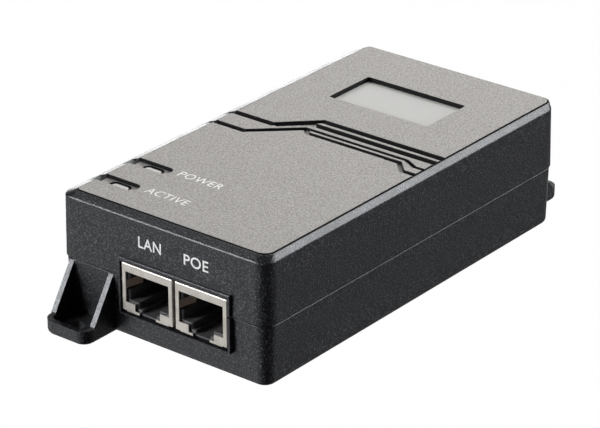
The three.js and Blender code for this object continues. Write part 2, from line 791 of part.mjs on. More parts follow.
// A wound ring standing on edge or lying flat
function woundRing(x, back, middleZ, radius, tube, upright) {
  const steps = 12;
  const points = Array.from({ length: steps + 1 }, (_, i) => {
    const angle = (2 * Math.PI * (i % steps)) / steps;
    return new THREE.Vector2(radius + tube * Math.cos(angle), tube * Math.sin(angle));
  });
  const geometry = new THREE.LatheGeometry(points, ROUND_STEPS);
  if (!upright) {
    geometry.rotateX(Math.PI / 2);
  }
  geometry.translate(x, fromFront(back), middleZ);
  return solid(geometry);
}

function transformerCore() {
  const { x, back, width, length, height } = TRANSFORMER;
  const y = fromFront(back);
  const outer = boardBlock(x, back, width, length, height);
  const windows = [-1, 1].map((sign) => {
    const inner = x + sign * CORE_WALL.halfLimb;
    const outside = x + sign * (width / 2 - CORE_WALL.side);
    const reach = length / 2 + 1;
    const z0 = STAND + CORE_WALL.top;
    return box(inner, outside, y - reach, y + reach, z0, STAND + height - CORE_WALL.top);
  });
  return cut(outer, windows);
}

function transformerWinding() {
  const { x, back, width, length, height } = TRANSFORMER;
  const y = fromFront(back);
  const halfX = width / 2 - CORE_WALL.side - GAP;
  const halfY = length / 2 + 3.5;
  const z0 = STAND + CORE_WALL.top + GAP;
  const z1 = STAND + height - CORE_WALL.top - GAP;
  const outer = roundedOutline({
    x0: x - halfX,
    x1: x + halfX,
    y0: y - halfY,
    y1: y + halfY,
    radii: [3, 3, 3, 3],
  });
  const limbX = CORE_WALL.halfLimb + GAP;
  const limbY = length / 2 + GAP;
  const limb = box(x - limbX, x + limbX, y - limbY, y + limbY, z0 - 1, z1 + 1);
  return prism(outer, z0, z1).subtract(limb);
}

// A finned aluminium plate standing across the board
function heatsink(x, back, width) {
  const y = fromFront(back);
  const plate = box(x - width / 2, x + width / 2, y - 1, y + 1, STAND, STAND + 20);
  const finCount = 5;
  const fins = Array.from({ length: finCount }, (_, i) => {
    const finX = x - width / 2 + 0.5 + (i * (width - 1)) / (finCount - 1);
    return box(finX - 0.5, finX + 0.5, y, y + 4, STAND + 2, STAND + 20);
  });
  return join([plate, ...fins]);
}

// A power package: moulded body, bolted tab above it and three legs below
function powerPackage(x, back) {
  const y = fromFront(back);
  const body = box(x - 5, x + 5, y - 2.2, y + 2.2, STAND + 5, STAND + 13.5);
  const tab = box(x - 5, x + 5, y + 0.9, y + 2.2, STAND + 13, STAND + 18).subtract(
    box(x - 1.6, x + 1.6, y - 3, y + 3, STAND + 14.4, STAND + 17),
  );
  const legs = [-2.54, 0, 2.54].map((dx) =>
    box(x + dx - 0.4, x + dx + 0.4, y - 0.3, y + 0.3, STAND, STAND + 5.5));
  return join([body, tab, ...legs]);
}

// A flat radial part that stands on two leads
function radialDisc(x, back, radius, thickness) {
  const y = fromFront(back);
  const middle = STAND + 3.5 + radius;
  const disc = new THREE.CylinderGeometry(radius, radius, thickness, 20);
  disc.translate(x, y, middle);
  const leads = [-1, 1].map((sign) => {
    const leadX = x + sign * radius * 0.6;
    return box(leadX - 0.3, leadX + 0.3, y - 0.3, y + 0.3, STAND, middle);
  });
  return join([solid(disc), ...leads]);
}

// A cartridge fuse: a tube between two end caps, lying along Y
function cartridgeFuse(x, back) {
  const capOffset = 4.2;
  const tube = new THREE.CylinderGeometry(2, 2, 11, 16);
  tube.translate(x, fromFront(back), STAND + 4);
  const caps = [-1, 1].map((sign) => {
    const cap = new THREE.CylinderGeometry(2.3, 2.3, 3.4, 16);
    cap.translate(x, fromFront(back) + sign * capOffset, STAND + 4);
    return solid(cap);
  });
  const feet = [-1, 1].map((sign) => {
    const y = fromFront(back) + sign * capOffset;
    return box(x - 0.5, x + 0.5, y - 1.2, y + 1.2, STAND, STAND + 4);
  });
  return join([solid(tube), ...caps, ...feet]);
}

// A surface chip with a row of legs on each long side
function chip(x, back, width, length, legCount) {
  const y = fromFront(back);
  const body = boardBlock(x, back, width, length, 1.6);
  const rows = [-1, 1].flatMap((sign) =>
    Array.from({ length: legCount }, (_, i) => {
      const legY = y + (i - (legCount - 1) / 2) * 1.27;
      const inner = x + sign * (width / 2 - 0.3);
      const outer = x + sign * (width / 2 + 1);
      return box(inner, outer, legY - 0.2, legY + 0.2, STAND, STAND + 0.7);
    }));
  return join([body, ...rows]);
}

// A sheet that stands between the mains side of the board and the low-voltage side
function insulatingSheet() {
  const y = fromFront(80);
  return box(-26, 26, y - 0.2, y + 0.2, STAND, STAND + 21);
}

// ---------------------------------------------------------------- assembly

const parts = {
  upper_case: [upperCase(), materials.casePlastic],
  lower_case: [lowerCase(), materials.casePlastic],
  top_panel: [topPanel(), materials.panelGrey],
  window_label: [windowLabel(), materials.labelPaper],
  rating_label: [ratingLabel(), materials.labelPaper],
  main_board: [mainBoard(), materials.board],
  inlet_housing: [inletHousing(), materials.blackNylon],
  lan_magnetics: [boardBlock(8, 30, 17, 12, 6.5), materials.epoxyBlack],
  controller_chip: [chip(-12, 30, 4, 5.2, 4), materials.epoxyBlack],
  optocoupler: [chip(20, 64, 6.4, 4.8, 2), materials.epoxyBlack],
  output_inductor: [woundRing(-19, 44, STAND + 3.4, 5.6, 3, false), materials.copper],
  output_capacitor_1: [capacitorCan(4, 42.5, 5, 20), materials.sleeveBlack],
  output_capacitor_2: [capacitorCan(17, 42.5, 5, 20), materials.sleeveBlack],
  output_rectifier: [powerPackage(-21.5, 56), materials.epoxyBlack],
  secondary_heatsink: [heatsink(-21.5, 60, 13), materials.aluminium],
  transformer_core: [transformerCore(), materials.ferrite],
  transformer_winding: [transformerWinding(), materials.tapeYellow],
  y_capacitor: [radialDisc(21, 74, 4.2, 3), materials.discBlue],
  insulating_sheet: [insulatingSheet(), materials.fishPaper],
  primary_transistor: [powerPackage(20, 84), materials.epoxyBlack],
  primary_heatsink: [heatsink(20, 88, 14), materials.aluminium],
  bulk_capacitor: [capacitorCan(-17, 88.2, 7.5, 21), materials.sleeveBlack],
  bridge_rectifier: [boardBlock(-2, 84, 12, 3.6, 13), materials.epoxyBlack],
  x_capacitor: [boardBlock(15.5, 103, 7, 14, 13), materials.filmYellow],
  common_mode_choke: [woundRing(1, 91, STAND + 6.4, 4, 2.2, true), materials.copper],
  mains_fuse: [cartridgeFuse(-24.3, 102.2), materials.glass],
  surge_varistor: [radialDisc(23.6, 96.5, 3.4, 3), materials.discBlue],
};

for (const [name, centre] of Object.entries(JACK_CENTRES)) {
  parts[`jack_shield_${name}`] = [jackShield(centre), materials.nickel];
  parts[`jack_insert_${name}`] = [jackInsert(centre), materials.blackNylon];
  parts[`jack_contacts_${name}`] = [jackContacts(centre), materials.gold];
}

for (const [name, centre] of Object.entries(SLOT_CENTRES)) {
  parts[`light_pipe_${name}`] = [lightPipe(centre), materials.lightPipe];
  parts[`indicator_led_${name}`] = [indicatorLed(centre), materials.led];
}

for (const [name, pin] of Object.entries(PINS)) {
  parts[`inlet_pin_${name}`] = [pinBlock(pin, 0, INLET_DEPTH - 1, PIN.recess), materials.brass];
}

screwPlaces.forEach(([x, y], i) => {
  parts[`case_screw_${i + 1}`] = [caseScrew(x, y), materials.steel];
});

const injector = new THREE.Group();
for (const [name, [body, material]] of Object.entries(parts)) {
  const mesh = new THREE.Mesh(geometryOf(body), material);
  mesh.name = name;
  injector.add(mesh);
}

export default injector;
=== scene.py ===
"""Looks of a two-port PoE injector: fine cases, metal sockets, lettering, materials, light and camera.

Lengths in this script are millimetres until a mesh is made, which turns them into metres.
Only the backdrop and the lamp are placed in metres.
X is to the right for someone who faces the sockets, Y runs to the rear, Z is up.
"""

import math

import bpy
import bmesh
from mathutils import Matrix, Vector

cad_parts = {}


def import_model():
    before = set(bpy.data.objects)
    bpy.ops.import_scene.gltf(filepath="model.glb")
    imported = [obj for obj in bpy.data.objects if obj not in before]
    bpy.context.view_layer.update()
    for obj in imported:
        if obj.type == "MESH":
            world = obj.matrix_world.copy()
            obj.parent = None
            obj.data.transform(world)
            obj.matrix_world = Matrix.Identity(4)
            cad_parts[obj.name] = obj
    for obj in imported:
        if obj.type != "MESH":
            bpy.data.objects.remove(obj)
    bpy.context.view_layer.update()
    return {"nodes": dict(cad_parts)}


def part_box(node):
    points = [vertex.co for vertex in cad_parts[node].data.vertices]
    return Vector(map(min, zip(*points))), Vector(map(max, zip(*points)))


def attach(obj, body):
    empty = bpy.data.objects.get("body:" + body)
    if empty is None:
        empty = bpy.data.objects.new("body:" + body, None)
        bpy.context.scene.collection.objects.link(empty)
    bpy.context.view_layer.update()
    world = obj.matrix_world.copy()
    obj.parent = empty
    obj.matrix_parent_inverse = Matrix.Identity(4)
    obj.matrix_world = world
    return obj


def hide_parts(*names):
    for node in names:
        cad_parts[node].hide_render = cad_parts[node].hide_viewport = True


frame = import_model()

MM = 0.001
SCENE = bpy.context.scene


# ---------------------------------------------------------------- places from the frame

def box_mm(node):
    """The lowest and highest corner of a CAD node, in millimetres."""
    low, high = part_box(node)
    return low / MM, high / MM


UPPER_LOW, UPPER_HIGH = box_mm("upper_case")
LOWER_LOW, LOWER_HIGH = box_mm("lower_case")
PANEL_LOW, PANEL_HIGH = box_mm("top_panel")

FRAME_PROUD = 0.8
HALF_WIDTH = UPPER_HIGH.x
FRONT = UPPER_LOW.y + FRAME_PROUD
REAR = UPPER_HIGH.y
BODY_MIDDLE = (FRONT + REAR) / 2
TOP = PANEL_HIGH.z
UPPER_BOTTOM = UPPER_LOW.z
SEAM_GAP = 0.35
LOWER_TOP = UPPER_BOTTOM - SEAM_GAP

# Case
CORNER_RADIUS = 4.0
UPPER_DRAFT = 0.28
LOWER_STEP = 0.33
LOWER_DRAFT = 0.37
WALL = 2.0
LOWER_WALL = 3.0
LOWER_FLOOR = 1.5
CHAMFER_DROP = 1.75
BOTTOM_FILLET = 1.7
EDGE = 0.32
SEAM_EDGE = 0.2
PANEL_GAP = 0.3
RIM_LAND = 0.2
RIM_DROP = 0.3
PANEL_RADII = (1.0, 2.6, 2.6, 0.9)
ROOF_TOP = PANEL_LOW.z - PANEL_GAP
CAVITY_TOP = ROOF_TOP - 1.5
TONGUE_WIDTH = 1.0

# Relief of the top panel
GROOVE_LIP = 0.2
WINDOW_LIP = 0.08
SLOT_END = -16.6
SLOT_WIDTH = 3.9
SLOT_DEPTH = 1.1
SLOT_RADIUS = 1.6
SLOT_MOUTH_RADIUS = 0.1
PIPE_GAP = 0.48
PIPE_DROP = 0.1
PIPE_INSET = 0.18

# Sockets, the opening in the case for them and the raised frame round it
FRAME = {"x0": -12.9, "x1": 21.9, "z0": 6.75, "z1": 22.0}
FRAME_ROOT = 1.2
FRAME_EDGE = 0.3
PORTS = {"x0": -12.2, "x1": 21.1, "z0": 7.2, "z1": 20.9}
SHIELD_SHEET = 0.45
SHIELD_EDGE = 0.32
BOARD_NOTCH = 1.3

# Screw ears: the reach is measured out from the face that the ear stands on, the hole and the foot of
# the gussets back from the tip
FRONT_REACH = FRONT - LOWER_LOW.y
REAR_REACH = LOWER_HIGH.y - REAR
EAR_HOLE_INSET = 4.9
EAR_FOOT_INSET = 3.4
FRONT_EAR = {"centre": -22.35, "reach": FRONT_REACH}
REAR_EAR = {"centre": 18.15, "reach": REAR_REACH}
EAR_WIDTH = 14.1
EAR_WALL = 1.45
EAR_FLOOR = 2.2
EAR_RIM = 3.9
EAR_RADIUS = 3.2
EAR_FILLET = 1.4
EAR_HOLE = 2.1
EAR_ROOT = 1.5
EAR_BELOW_SEAM = 0.3
EAR_EDGE = 0.22
GUSSET_FOOT = 0.4

SCREWS = [f"case_screw_{i}" for i in range(1, 5)]
BOSS_RADIUS = 3.2
BOSS_FOOT = 0.5
BOSS_BORE = 2.7
BOSS_BORE_TOP = 2.6
SHANK_HOLE = 1.6

# Steps in a quarter turn of a plan corner, a corner radius that is as good as square, and how far
# cutters run past what they cut
ARC_STEPS = 14
SQUARE = 0.05
FAR = 6.0


# ---------------------------------------------------------------- mesh helpers

def link(name, mesh):
    piece = bpy.data.objects.new(name, mesh)
    SCENE.collection.objects.link(piece)
    return piece


def outline(x0, x1, y0, y1, radii):
    """Plan points of a rectangle with its own radius at each corner, from the front left."""
    front_left, front_right, back_right, back_left = radii
    corners = [
        (x0 + front_left, y0 + front_left, front_left),
        (x1 - front_right, y0 + front_right, front_right),
        (x1 - back_right, y1 - back_right, back_right),
        (x0 + back_left, y1 - back_left, back_left),
    ]
    points = []
    for corner, (x, y, radius) in enumerate(corners):
        for step in range(ARC_STEPS + 1):
            angle = math.pi + math.pi / 2 * (corner + step / ARC_STEPS)
            points.append((x + radius * math.cos(angle), y + radius * math.sin(angle)))
    return points


def body_outline(inset):
    radius = max(CORNER_RADIUS - inset, 0.8)
    return outline(-HALF_WIDTH + inset, HALF_WIDTH - inset, FRONT + inset, REAR - inset, [radius] * 4)


def panel_outline(margin):
    radii = [max(radius + margin, 0.2) for radius in PANEL_RADII]
    return outline(
        PANEL_LOW.x - margin,
        PANEL_HIGH.x + margin,
        PANEL_LOW.y - margin,
        PANEL_HIGH.y + margin,
        radii,
    )


def at(points, z):
    return [Vector((x, y, z)) for x, y in points]


def bend(before, corner, after, steps=4):
    """Rings that turn smoothly from one ring to another round a corner ring."""
    rings = []
    for step in range(steps + 1):
        t = step / steps
        rings.append([
            a * (1 - t) ** 2 + b * 2 * t * (1 - t) + c * t ** 2
            for a, b, c in zip(before, corner, after)
        ])
    return rings


def mix(first, second, share):
    return [a.lerp(b, share) for a, b in zip(first, second)]


def face_outwards(mesh):
    """Welds points that lie together and turns every face of a closed skin outwards."""
    skin = bmesh.new()
    skin.from_mesh(mesh)
    bmesh.ops.remove_doubles(skin, verts=skin.verts, dist=1e-7)
    bmesh.ops.recalc_face_normals(skin, faces=skin.faces)
    skin.to_mesh(mesh)
    skin.free()


def loft(name, rings):
    """A closed skin through rings that all have the same number of points."""
    count = len(rings[0])
    points = [point * MM for ring in rings for point in ring]
    faces = [tuple(reversed(range(count)))]
    for level in range(len(rings) - 1):
        for i in range(count):
            a = level * count + i
            b = level * count + (i + 1) % count
            faces.append((a, b, b + count, a + count))
    last = (len(rings) - 1) * count
    faces.append(tuple(range(last, last + count)))
    mesh = bpy.data.meshes.new(name)
    mesh.from_pydata(points, [], faces)
    face_outwards(mesh)
    return link(name, mesh)


def prism(name, points, z0, z1):
    return loft(name, [at(points, z0), at(points, z1)])


def box(name, x0, x1, y0, y1, z0, z1):
    return prism(name, [(x0, y0), (x1, y0), (x1, y1), (x0, y1)], z0, z1)


def side_prism(name, points, x0, x1):
    """An outline of (y, z) points, counter-clockwise seen from the right, carried from x0 to x1."""
    rings = [[Vector((x, y, z)) for y, z in points] for x in (x0, x1)]
    return loft(name, rings)


def front_prism(name, points, y0, y1):
    """An outline of (x, z) points, counter-clockwise seen from the front, carried back from y0."""
    rings = [[Vector((x, y, z)) for x, z in points] for y in (y1, y0)]
    return loft(name, rings)


def post(name, x, y, z0, z1, radius, steps=48):
    points = [
        (x + radius * math.cos(2 * math.pi * i / steps), y + radius * math.sin(2 * math.pi * i / steps))
        for i in range(steps)
    ]
    return prism(name, points, z0, z1)


def settle(piece):
    """Turns the piece's modifiers into its mesh."""
    graph = bpy.context.evaluated_depsgraph_get()
    mesh = bpy.data.meshes.new_from_object(piece.evaluated_get(graph))
    piece.modifiers.clear()
    old = piece.data
    piece.data = mesh
    bpy.data.meshes.remove(old)
    return piece


def combine(piece, others, operation):
    for other in others:
        modifier = piece.modifiers.new(operation, "BOOLEAN")
        modifier.operation = operation
        modifier.solver = "EXACT"
        modifier.object = other
        settle(piece)
        bpy.data.objects.remove(other)
    return piece


def carve(piece, *cutters):
    return combine(piece, cutters, "DIFFERENCE")


def join(piece, *others):
    return combine(piece, others, "UNION")


def soften(piece, width, segments=2, angle=35):
    """Rounds the sharp edges of a simple piece."""
    modifier = piece.modifiers.new("edges", "BEVEL")
    modifier.width = width * MM
    modifier.segments = segments
    modifier.limit_method = "ANGLE"
    modifier.angle_limit = math.radians(angle)
    modifier.use_clamp_overlap = True
    modifier.harden_normals = False
    return settle(piece)


def dress(piece, material, slot, *stands_for, sharp=30):
    """Last step for a piece: smooth shading, material, body and the CAD nodes it stands for; slot is not
    used.
    """
    face_outwards(piece.data)
    piece.data.shade_smooth()
    piece.data.set_sharp_from_angle(angle=math.radians(sharp))
    weighted = piece.modifiers.new("weighted_normals", "WEIGHTED_NORMAL")
    weighted.keep_sharp = True
    piece.data.materials.clear()
    piece.data.materials.append(material)
    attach(piece, "root")
    if stands_for:
        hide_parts(*stands_for)
    return piece


# ---------------------------------------------------------------- material helpers

class Nodes:
    """A short way to build one node material."""

    def __init__(self, name):
        self.material = bpy.data.materials.new(name)
        self.material.use_nodes = True
        self.tree = self.material.node_tree
        self.shader = self.tree.nodes["Principled BSDF"]
        self.place = self.tree.nodes.new("ShaderNodeTexCoord").outputs["Object"]

    def set(self, **values):
        for name, value in values.items():
            self.shader.inputs[name.replace("_", " ")].default_value = value

    def node(self, kind, inputs=None, **settings):
        node = self.tree.nodes.new(kind)
        for key, value in settings.items():
            setattr(node, key, value)
        for key, value in (inputs or {}).items():
            if isinstance(value, bpy.types.NodeSocket):
                self.tree.links.new(value, node.inputs[key])
            else:
                node.inputs[key].default_value = value
        return node

    def noise(self, grain_mm, detail=2.0, roughness=0.5, stretch=None):
        place = self.place
        if stretch:
            place = self.node("ShaderNodeMapping", {"Vector": place, "Scale": stretch}).outputs["Vector"]
        inputs = {"Vector": place, "Scale": 1 / (grain_mm * MM), "Detail": detail, "Roughness": roughness}
        return self.node("ShaderNodeTexNoise", inputs).outputs["Fac"]

    def ramp(self, factor, *stops):
        """Maps a factor to colours; each stop is a position and a grey or an RGB triple."""
        node = self.node("ShaderNodeValToRGB", {"Fac": factor})
        elements = node.color_ramp.elements
        while len(elements) < len(stops):
            elements.new(0.5)
        for element, (position, colour) in zip(elements, stops):
            element.position = position
            triple = (colour,) * 3 if isinstance(colour, (int, float)) else colour
            element.color = (*triple, 1.0)
        return node.outputs["Color"]

    def feed(self, socket, output):
        self.tree.links.new(output, self.shader.inputs[socket])

    def walls(self, level_colour, wall_colour):
        """One colour on faces that look up or down, another on the walls between them."""
        normal = self.node("ShaderNodeNewGeometry").outputs["Normal"]
        height = self.node("ShaderNodeSeparateXYZ", {"Vector": normal}).outputs["Z"]
        steep = self.node("ShaderNodeMath", {0: height}, operation="ABSOLUTE").outputs["Value"]
        flat = self.node(
            "ShaderNodeMapRange",
            {"Value": steep, "From Min": 0.55, "From Max": 0.8},
            interpolation_type="SMOOTHSTEP",
        ).outputs["Result"]
        # Inputs 0, 6 and 7 of a colour mix are its factor and its two colours; output 2 is the mixed colour
        mixed = self.node("ShaderNodeMix", data_type="RGBA")
        self.tree.links.new(flat, mixed.inputs[0])
        for socket, colour in ((6, wall_colour), (7, level_colour)):
            if isinstance(colour, bpy.types.NodeSocket):
                self.tree.links.new(colour, mixed.inputs[socket])
            else:
                mixed.inputs[socket].default_value = (*colour, 1)
        return mixed.outputs[2]

    def bump(self, height, depth_mm, strength, under=None):
        inputs = {"Height": height, "Distance": depth_mm * MM, "Strength": strength}
        if under is not None:
            inputs["Normal"] = under
        return self.node("ShaderNodeBump", inputs).outputs["Normal"]


def case_plastic():
    """Black moulded plastic with a fine spark-eroded grain; the brightest specks of its colour are painted
    glints of light on the grain.
    """
    n = Nodes("case_plastic")
    n.set(IOR=1.5, Specular_IOR_Level=0.5, Specular_Tint=(0.93, 0.955, 1.0, 1.0))
    grain = n.noise(0.38, 2.0, 0.6)
    coarse = n.noise(0.8, 2.0, 0.5)
    broad = n.noise(7.0, 2.0)
    # The dark stops vary at random with the grain; the bright top stop is a painted glint where facets
    # would catch light.
    n.feed("Base Color", n.ramp(
        grain,
        (0.42, (0.004, 0.0042, 0.005)),
        (0.54, (0.008, 0.0084, 0.0095)),
        (0.66, (0.095, 0.099, 0.11)),
    ))
    n.feed("Roughness", n.ramp(broad, (0.3, 0.31), (0.7, 0.37)))
    rough = n.bump(coarse, 0.05, 0.5)
    n.feed("Normal", n.bump(grain, 0.085, 0.9, under=rough))
    return n.material


def panel_plastic():
    """Plate whose textured face is painted warm grey, a painted sheen of light on black plastic; its
    upright walls are black plastic painted darker still, painted shade in the grooves and slots.
    """
    n = Nodes("panel_plastic")
    n.set(IOR=1.48, Specular_IOR_Level=0.25)
    grain = n.noise(0.42, 3.0, 0.6)
    broad = n.noise(9.0, 2.0)
    painted_sheen_grey = n.ramp(
        grain,
        (0.36, (0.215, 0.209, 0.2)),
        (0.5, (0.315, 0.305, 0.294)),
        (0.64, (0.415, 0.402, 0.388)),
    )
    # Level faces get the painted grey sheen; walls get near black with painted shade.
    n.feed("Base Color", n.walls(painted_sheen_grey, (0.005, 0.005, 0.006)))
    n.feed("Roughness", n.walls(n.ramp(broad, (0.3, 0.50), (0.7, 0.58)), (0.85, 0.85, 0.85)))
    n.feed("Normal", n.bump(grain, 0.07, 0.8))
    return n.material


def label_film():
    """Smooth pale film, blank."""
    n = Nodes("label_film")
    n.set(IOR=1.46, Specular_IOR_Level=0.25)
    fibre = n.noise(0.8, 2.0)
    n.feed("Base Color", n.ramp(fibre, (0.35, (0.45, 0.45, 0.442)), (0.65, (0.468, 0.468, 0.46))))
    n.feed("Roughness", n.ramp(fibre, (0.3, 0.5), (0.7, 0.58)))
    n.feed("Normal", n.bump(fibre, 0.01, 0.2))
    return n.material


def satin_nickel():
    """Plated sheet with a faint rolled grain."""
    n = Nodes("satin_nickel")
    n.set(Metallic=1.0)
    rolled = n.noise(0.25, 2.0, 0.5, stretch=(0.08, 1.0, 1.0))
    haze = n.noise(2.5, 2.0)
    n.feed("Base Color", n.ramp(haze, (0.35, (0.52, 0.495, 0.455)), (0.7, (0.61, 0.585, 0.545))))
    n.feed("Roughness", n.ramp(haze, (0.3, 0.38), (0.7, 0.48)))
    n.feed("Normal", n.bump(rolled, 0.01, 0.25))
    return n.material


def metal(name, dark, light, roughness, metallic=1.0):
    n = Nodes(name)
    n.set(Metallic=metallic)
    grain = n.noise(0.3, 3.0, 0.55)
    n.feed("Base Color", n.ramp(grain, (0.3, dark), (0.7, light)))
    n.feed("Roughness", n.ramp(grain, (0.3, roughness), (0.7, roughness + 0.12)))
    n.feed("Normal", n.bump(grain, 0.01, 0.2))
    return n.material


def plastic(name, dark, light, roughness):
    n = Nodes(name)
    n.set(IOR=1.5, Specular_IOR_Level=0.5)
    grain = n.noise(0.4, 3.0, 0.6)
    n.feed("Base Color", n.ramp(grain, (0.3, dark), (0.7, light)))
    n.feed("Roughness", n.ramp(grain, (0.3, roughness), (0.7, roughness + 0.1)))
    n.feed("Normal", n.bump(grain, 0.02, 0.3))
    return n.material


def lens_acrylic():
    """Milky light pipe with a glossy end; its sides are painted near black, painted shade for where they
    sit.
    """
    n = Nodes("lens_acrylic")
    n.set(IOR=1.49, Specular_IOR_Level=0.6)
    haze = n.noise(1.2, 2.0)
    milk = n.ramp(haze, (0.35, (0.78, 0.78, 0.77)), (0.7, (0.86, 0.86, 0.85)))
    # Upright sides get a near black colour: painted shade.
    n.feed("Base Color", n.walls(milk, (0.03, 0.03, 0.03)))
    n.feed("Roughness", n.ramp(haze, (0.3, 0.18), (0.7, 0.26)))
    n.feed("Normal", n.bump(haze, 0.02, 0.2))
    return n.material


def lettering_ink():
    n = Nodes("lettering_ink")
    n.set(IOR=1.46, Specular_IOR_Level=0.35)
    coverage = n.noise(0.35, 2.0)
    n.feed("Base Color", n.ramp(coverage, (0.3, (0.72, 0.72, 0.72)), (0.7, (0.86, 0.86, 0.86))))
    n.feed("Roughness", n.ramp(coverage, (0.3, 0.5), (0.7, 0.65)))
    n.feed("Normal", n.bump(coverage, 0.01, 0.3))
    return n.material


def board_laminate():
    """Green lacquer on both faces of the board and bare tan laminate at its edges."""
    n = Nodes("board_laminate")
    n.set(IOR=1.5, Specular_IOR_Level=0.5)
    weave = n.noise(0.5, 2.0)
    lacquer = n.ramp(weave, (0.35, (0.035, 0.13, 0.06)), (0.65, (0.06, 0.21, 0.10)))
    n.feed("Base Color", n.walls(lacquer, (0.42, 0.34, 0.20)))
    n.feed("Roughness", n.ramp(weave, (0.3, 0.35), (0.7, 0.5)))
    n.feed("Normal", n.bump(weave, 0.01, 0.3))
    return n.material


CASE = case_plastic()
PANEL = panel_plastic()
LABEL = label_film()
NICKEL = satin_nickel()
LENS = lens_acrylic()
INK = lettering_ink()
NYLON = plastic("insert_nylon", (0.055, 0.055, 0.06), (0.085, 0.085, 0.09), 0.30)
BRONZE = metal("spring_bronze", (0.62, 0.49, 0.42), (0.76, 0.62, 0.54), 0.45, metallic=0.25)
GOLD = metal("contact_gold", (0.70, 0.48, 0.16), (0.88, 0.66, 0.28), 0.22)
BRASS = metal("pin_plating", (0.60, 0.56, 0.48), (0.74, 0.70, 0.62), 0.26)
STEEL = metal("zinc_steel", (0.36, 0.37, 0.38), (0.56, 0.57, 0.58), 0.32)
ALUMINIUM = metal("mill_aluminium", (0.55, 0.56, 0.57), (0.72, 0.73, 0.74), 0.3)
COPPER = metal("enamelled_copper", (0.45, 0.16, 0.06), (0.72, 0.33, 0.14), 0.3)
BOARD = board_laminate()
FERRITE = plastic("ferrite", (0.03, 0.03, 0.033), (0.07, 0.07, 0.075), 0.6)
TAPE = plastic("yellow_tape", (0.60, 0.38, 0.04), (0.80, 0.56, 0.08), 0.35)
FILM = plastic("film_box", (0.62, 0.44, 0.06), (0.80, 0.62, 0.12), 0.4)
DISC = plastic("dipped_epoxy", (0.03, 0.11, 0.34), (0.06, 0.19, 0.48), 0.35)
SLEEVE = plastic("shrink_sleeve", (0.012, 0.012, 0.015), (0.03, 0.03, 0.034), 0.3)
EPOXY = plastic("moulding_compound", (0.02, 0.02, 0.022), (0.045, 0.045, 0.048), 0.55)
PAPER = plastic("insulating_paper", (0.70, 0.64, 0.48), (0.82, 0.77, 0.62), 0.7)
GLASS = plastic("fuse_tube", (0.62, 0.66, 0.68), (0.78, 0.82, 0.84), 0.12)


# ---------------------------------------------------------------- shapes shared by the case and panel

def back(distance):
    """The Y of a point that far behind the front face."""
    return FRONT + distance


# Bent grooves across the panel, each along a line of (X, distance behind the front face)
GROOVES = [
    {"line": [(-36, 61.3), (-15.6, 61.3), (-6.4, 70.3), (36, 70.3)], "width": 2.0, "depth": 1.2},
    {"line": [(-14.7, 61.4), (-7.6, 67.2), (36, 67.2)], "width": 2.0, "depth": 1.2},
    {"line": [(-36, 53.7), (-18.6, 53.7), (-6.9, 64.3)], "width": 1.8, "depth": 1.2},
    {"line": [(-7.6, 64.3), (24.1, 64.3), (27.9, 62.3), (36, 62.3)], "width": 1.1, "depth": 0.9},
    {
        "line": [(-6.6, 63.7), (-5.2, 62.2), (23.4, 62.2), (26.8, 58.7), (36, 58.7)],
        "width": 1.3,
        "depth": 0.9,
    },
]

# Outline and depth of the very shallow step beside the fine grooves
PATCH = {
    "line": [(18.9, 61.8), (22.9, 57.5), (36, 57.5), (36, 58.7), (26.8, 58.7), (23.4, 62.2)],
    "depth": 0.16,
}


def channel(line, width):
    """The plan outline of a channel of that width along a bent line, with mitred bends."""
    sides = []
    for sign in (-1, 1):
        side = []
        for i, (x, y) in enumerate(line):
            into = Vector((x, y)) - Vector(line[max(i - 1, 0)])
            out = Vector(line[min(i + 1, len(line) - 1)]) - Vector((x, y))
            into = into.normalized() if into.length else out.normalized()
            out = out.normalized() if out.length else into
            along = (into + out).normalized()
            reach = sign * width / 2 / max(along.dot(into), 0.5)
            side.append((x - along.y * reach, y + along.x * reach))
        sides.append(side)
    return sides[0] + sides[1][::-1]


def lip_rings(shape_at, floor, radius, steps=4):
    """Rings of a cutter whose mouth flares in a quarter circle, so that the edge it cuts is round."""
    rings = [at(shape_at(0), floor)]
    for step in range(steps + 1):
        angle = math.pi / 2 * step / steps
        grow = radius * (1 - math.cos(angle))
        rings.append(at(shape_at(grow), TOP - radius * (1 - math.sin(angle))))
    rings.append(at(shape_at(radius + 1), TOP + 0.3))
    return rings


def groove_cutters(right_limit=None):
    cutters = []
    for number, groove in enumerate(GROOVES):
        line = [(x, back(distance)) for x, distance in groove["line"]]

        def shape_at(grow, line=line, width=groove["width"]):
            return channel(line, width + 2 * grow)

        cutter = loft(f"groove_cutter_{number}", lip_rings(shape_at, TOP - groove["depth"], GROOVE_LIP))
        if right_limit is not None:
            keep = box("keep", -HALF_WIDTH - FAR, right_limit, FRONT, REAR, 0, TOP + FAR)
            combine(cutter, [keep], "INTERSECT")
        cutters.append(cutter)
    return cutters


def pipe_middles():
    """The plan centre of each light pipe, with its half sizes."""
    found = []
    for name in ("light_pipe_power", "light_pipe_active"):
        low, high = box_mm(name)
        found.append((name, (low + high) / 2, (high - low) / 2))
    return found


def slot_cutters():
    cutters = []
    for name, middle, _ in pipe_middles():
        half = SLOT_WIDTH / 2

        def shape_at(grow, middle=middle, half=half):
            return outline(
                -HALF_WIDTH - FAR,
                SLOT_END + grow,
                middle.y - half - grow,
                middle.y + half + grow,
                [SLOT_MOUTH_RADIUS, SLOT_RADIUS + grow, SLOT_RADIUS + grow, SLOT_MOUTH_RADIUS],
            )

        cutters.append(loft(f"slot_cutter_{name}", lip_rings(shape_at, TOP - SLOT_DEPTH, GROOVE_LIP)))
    return cutters


def pipe_outline(middle, half, margin):
    radius = (half.y + margin) * 0.95
    return outline(
        middle.x - half.x - margin,
        middle.x + half.x + margin,
        middle.y - half.y - margin,
        middle.y + half.y + margin,
        [radius] * 4,
    )


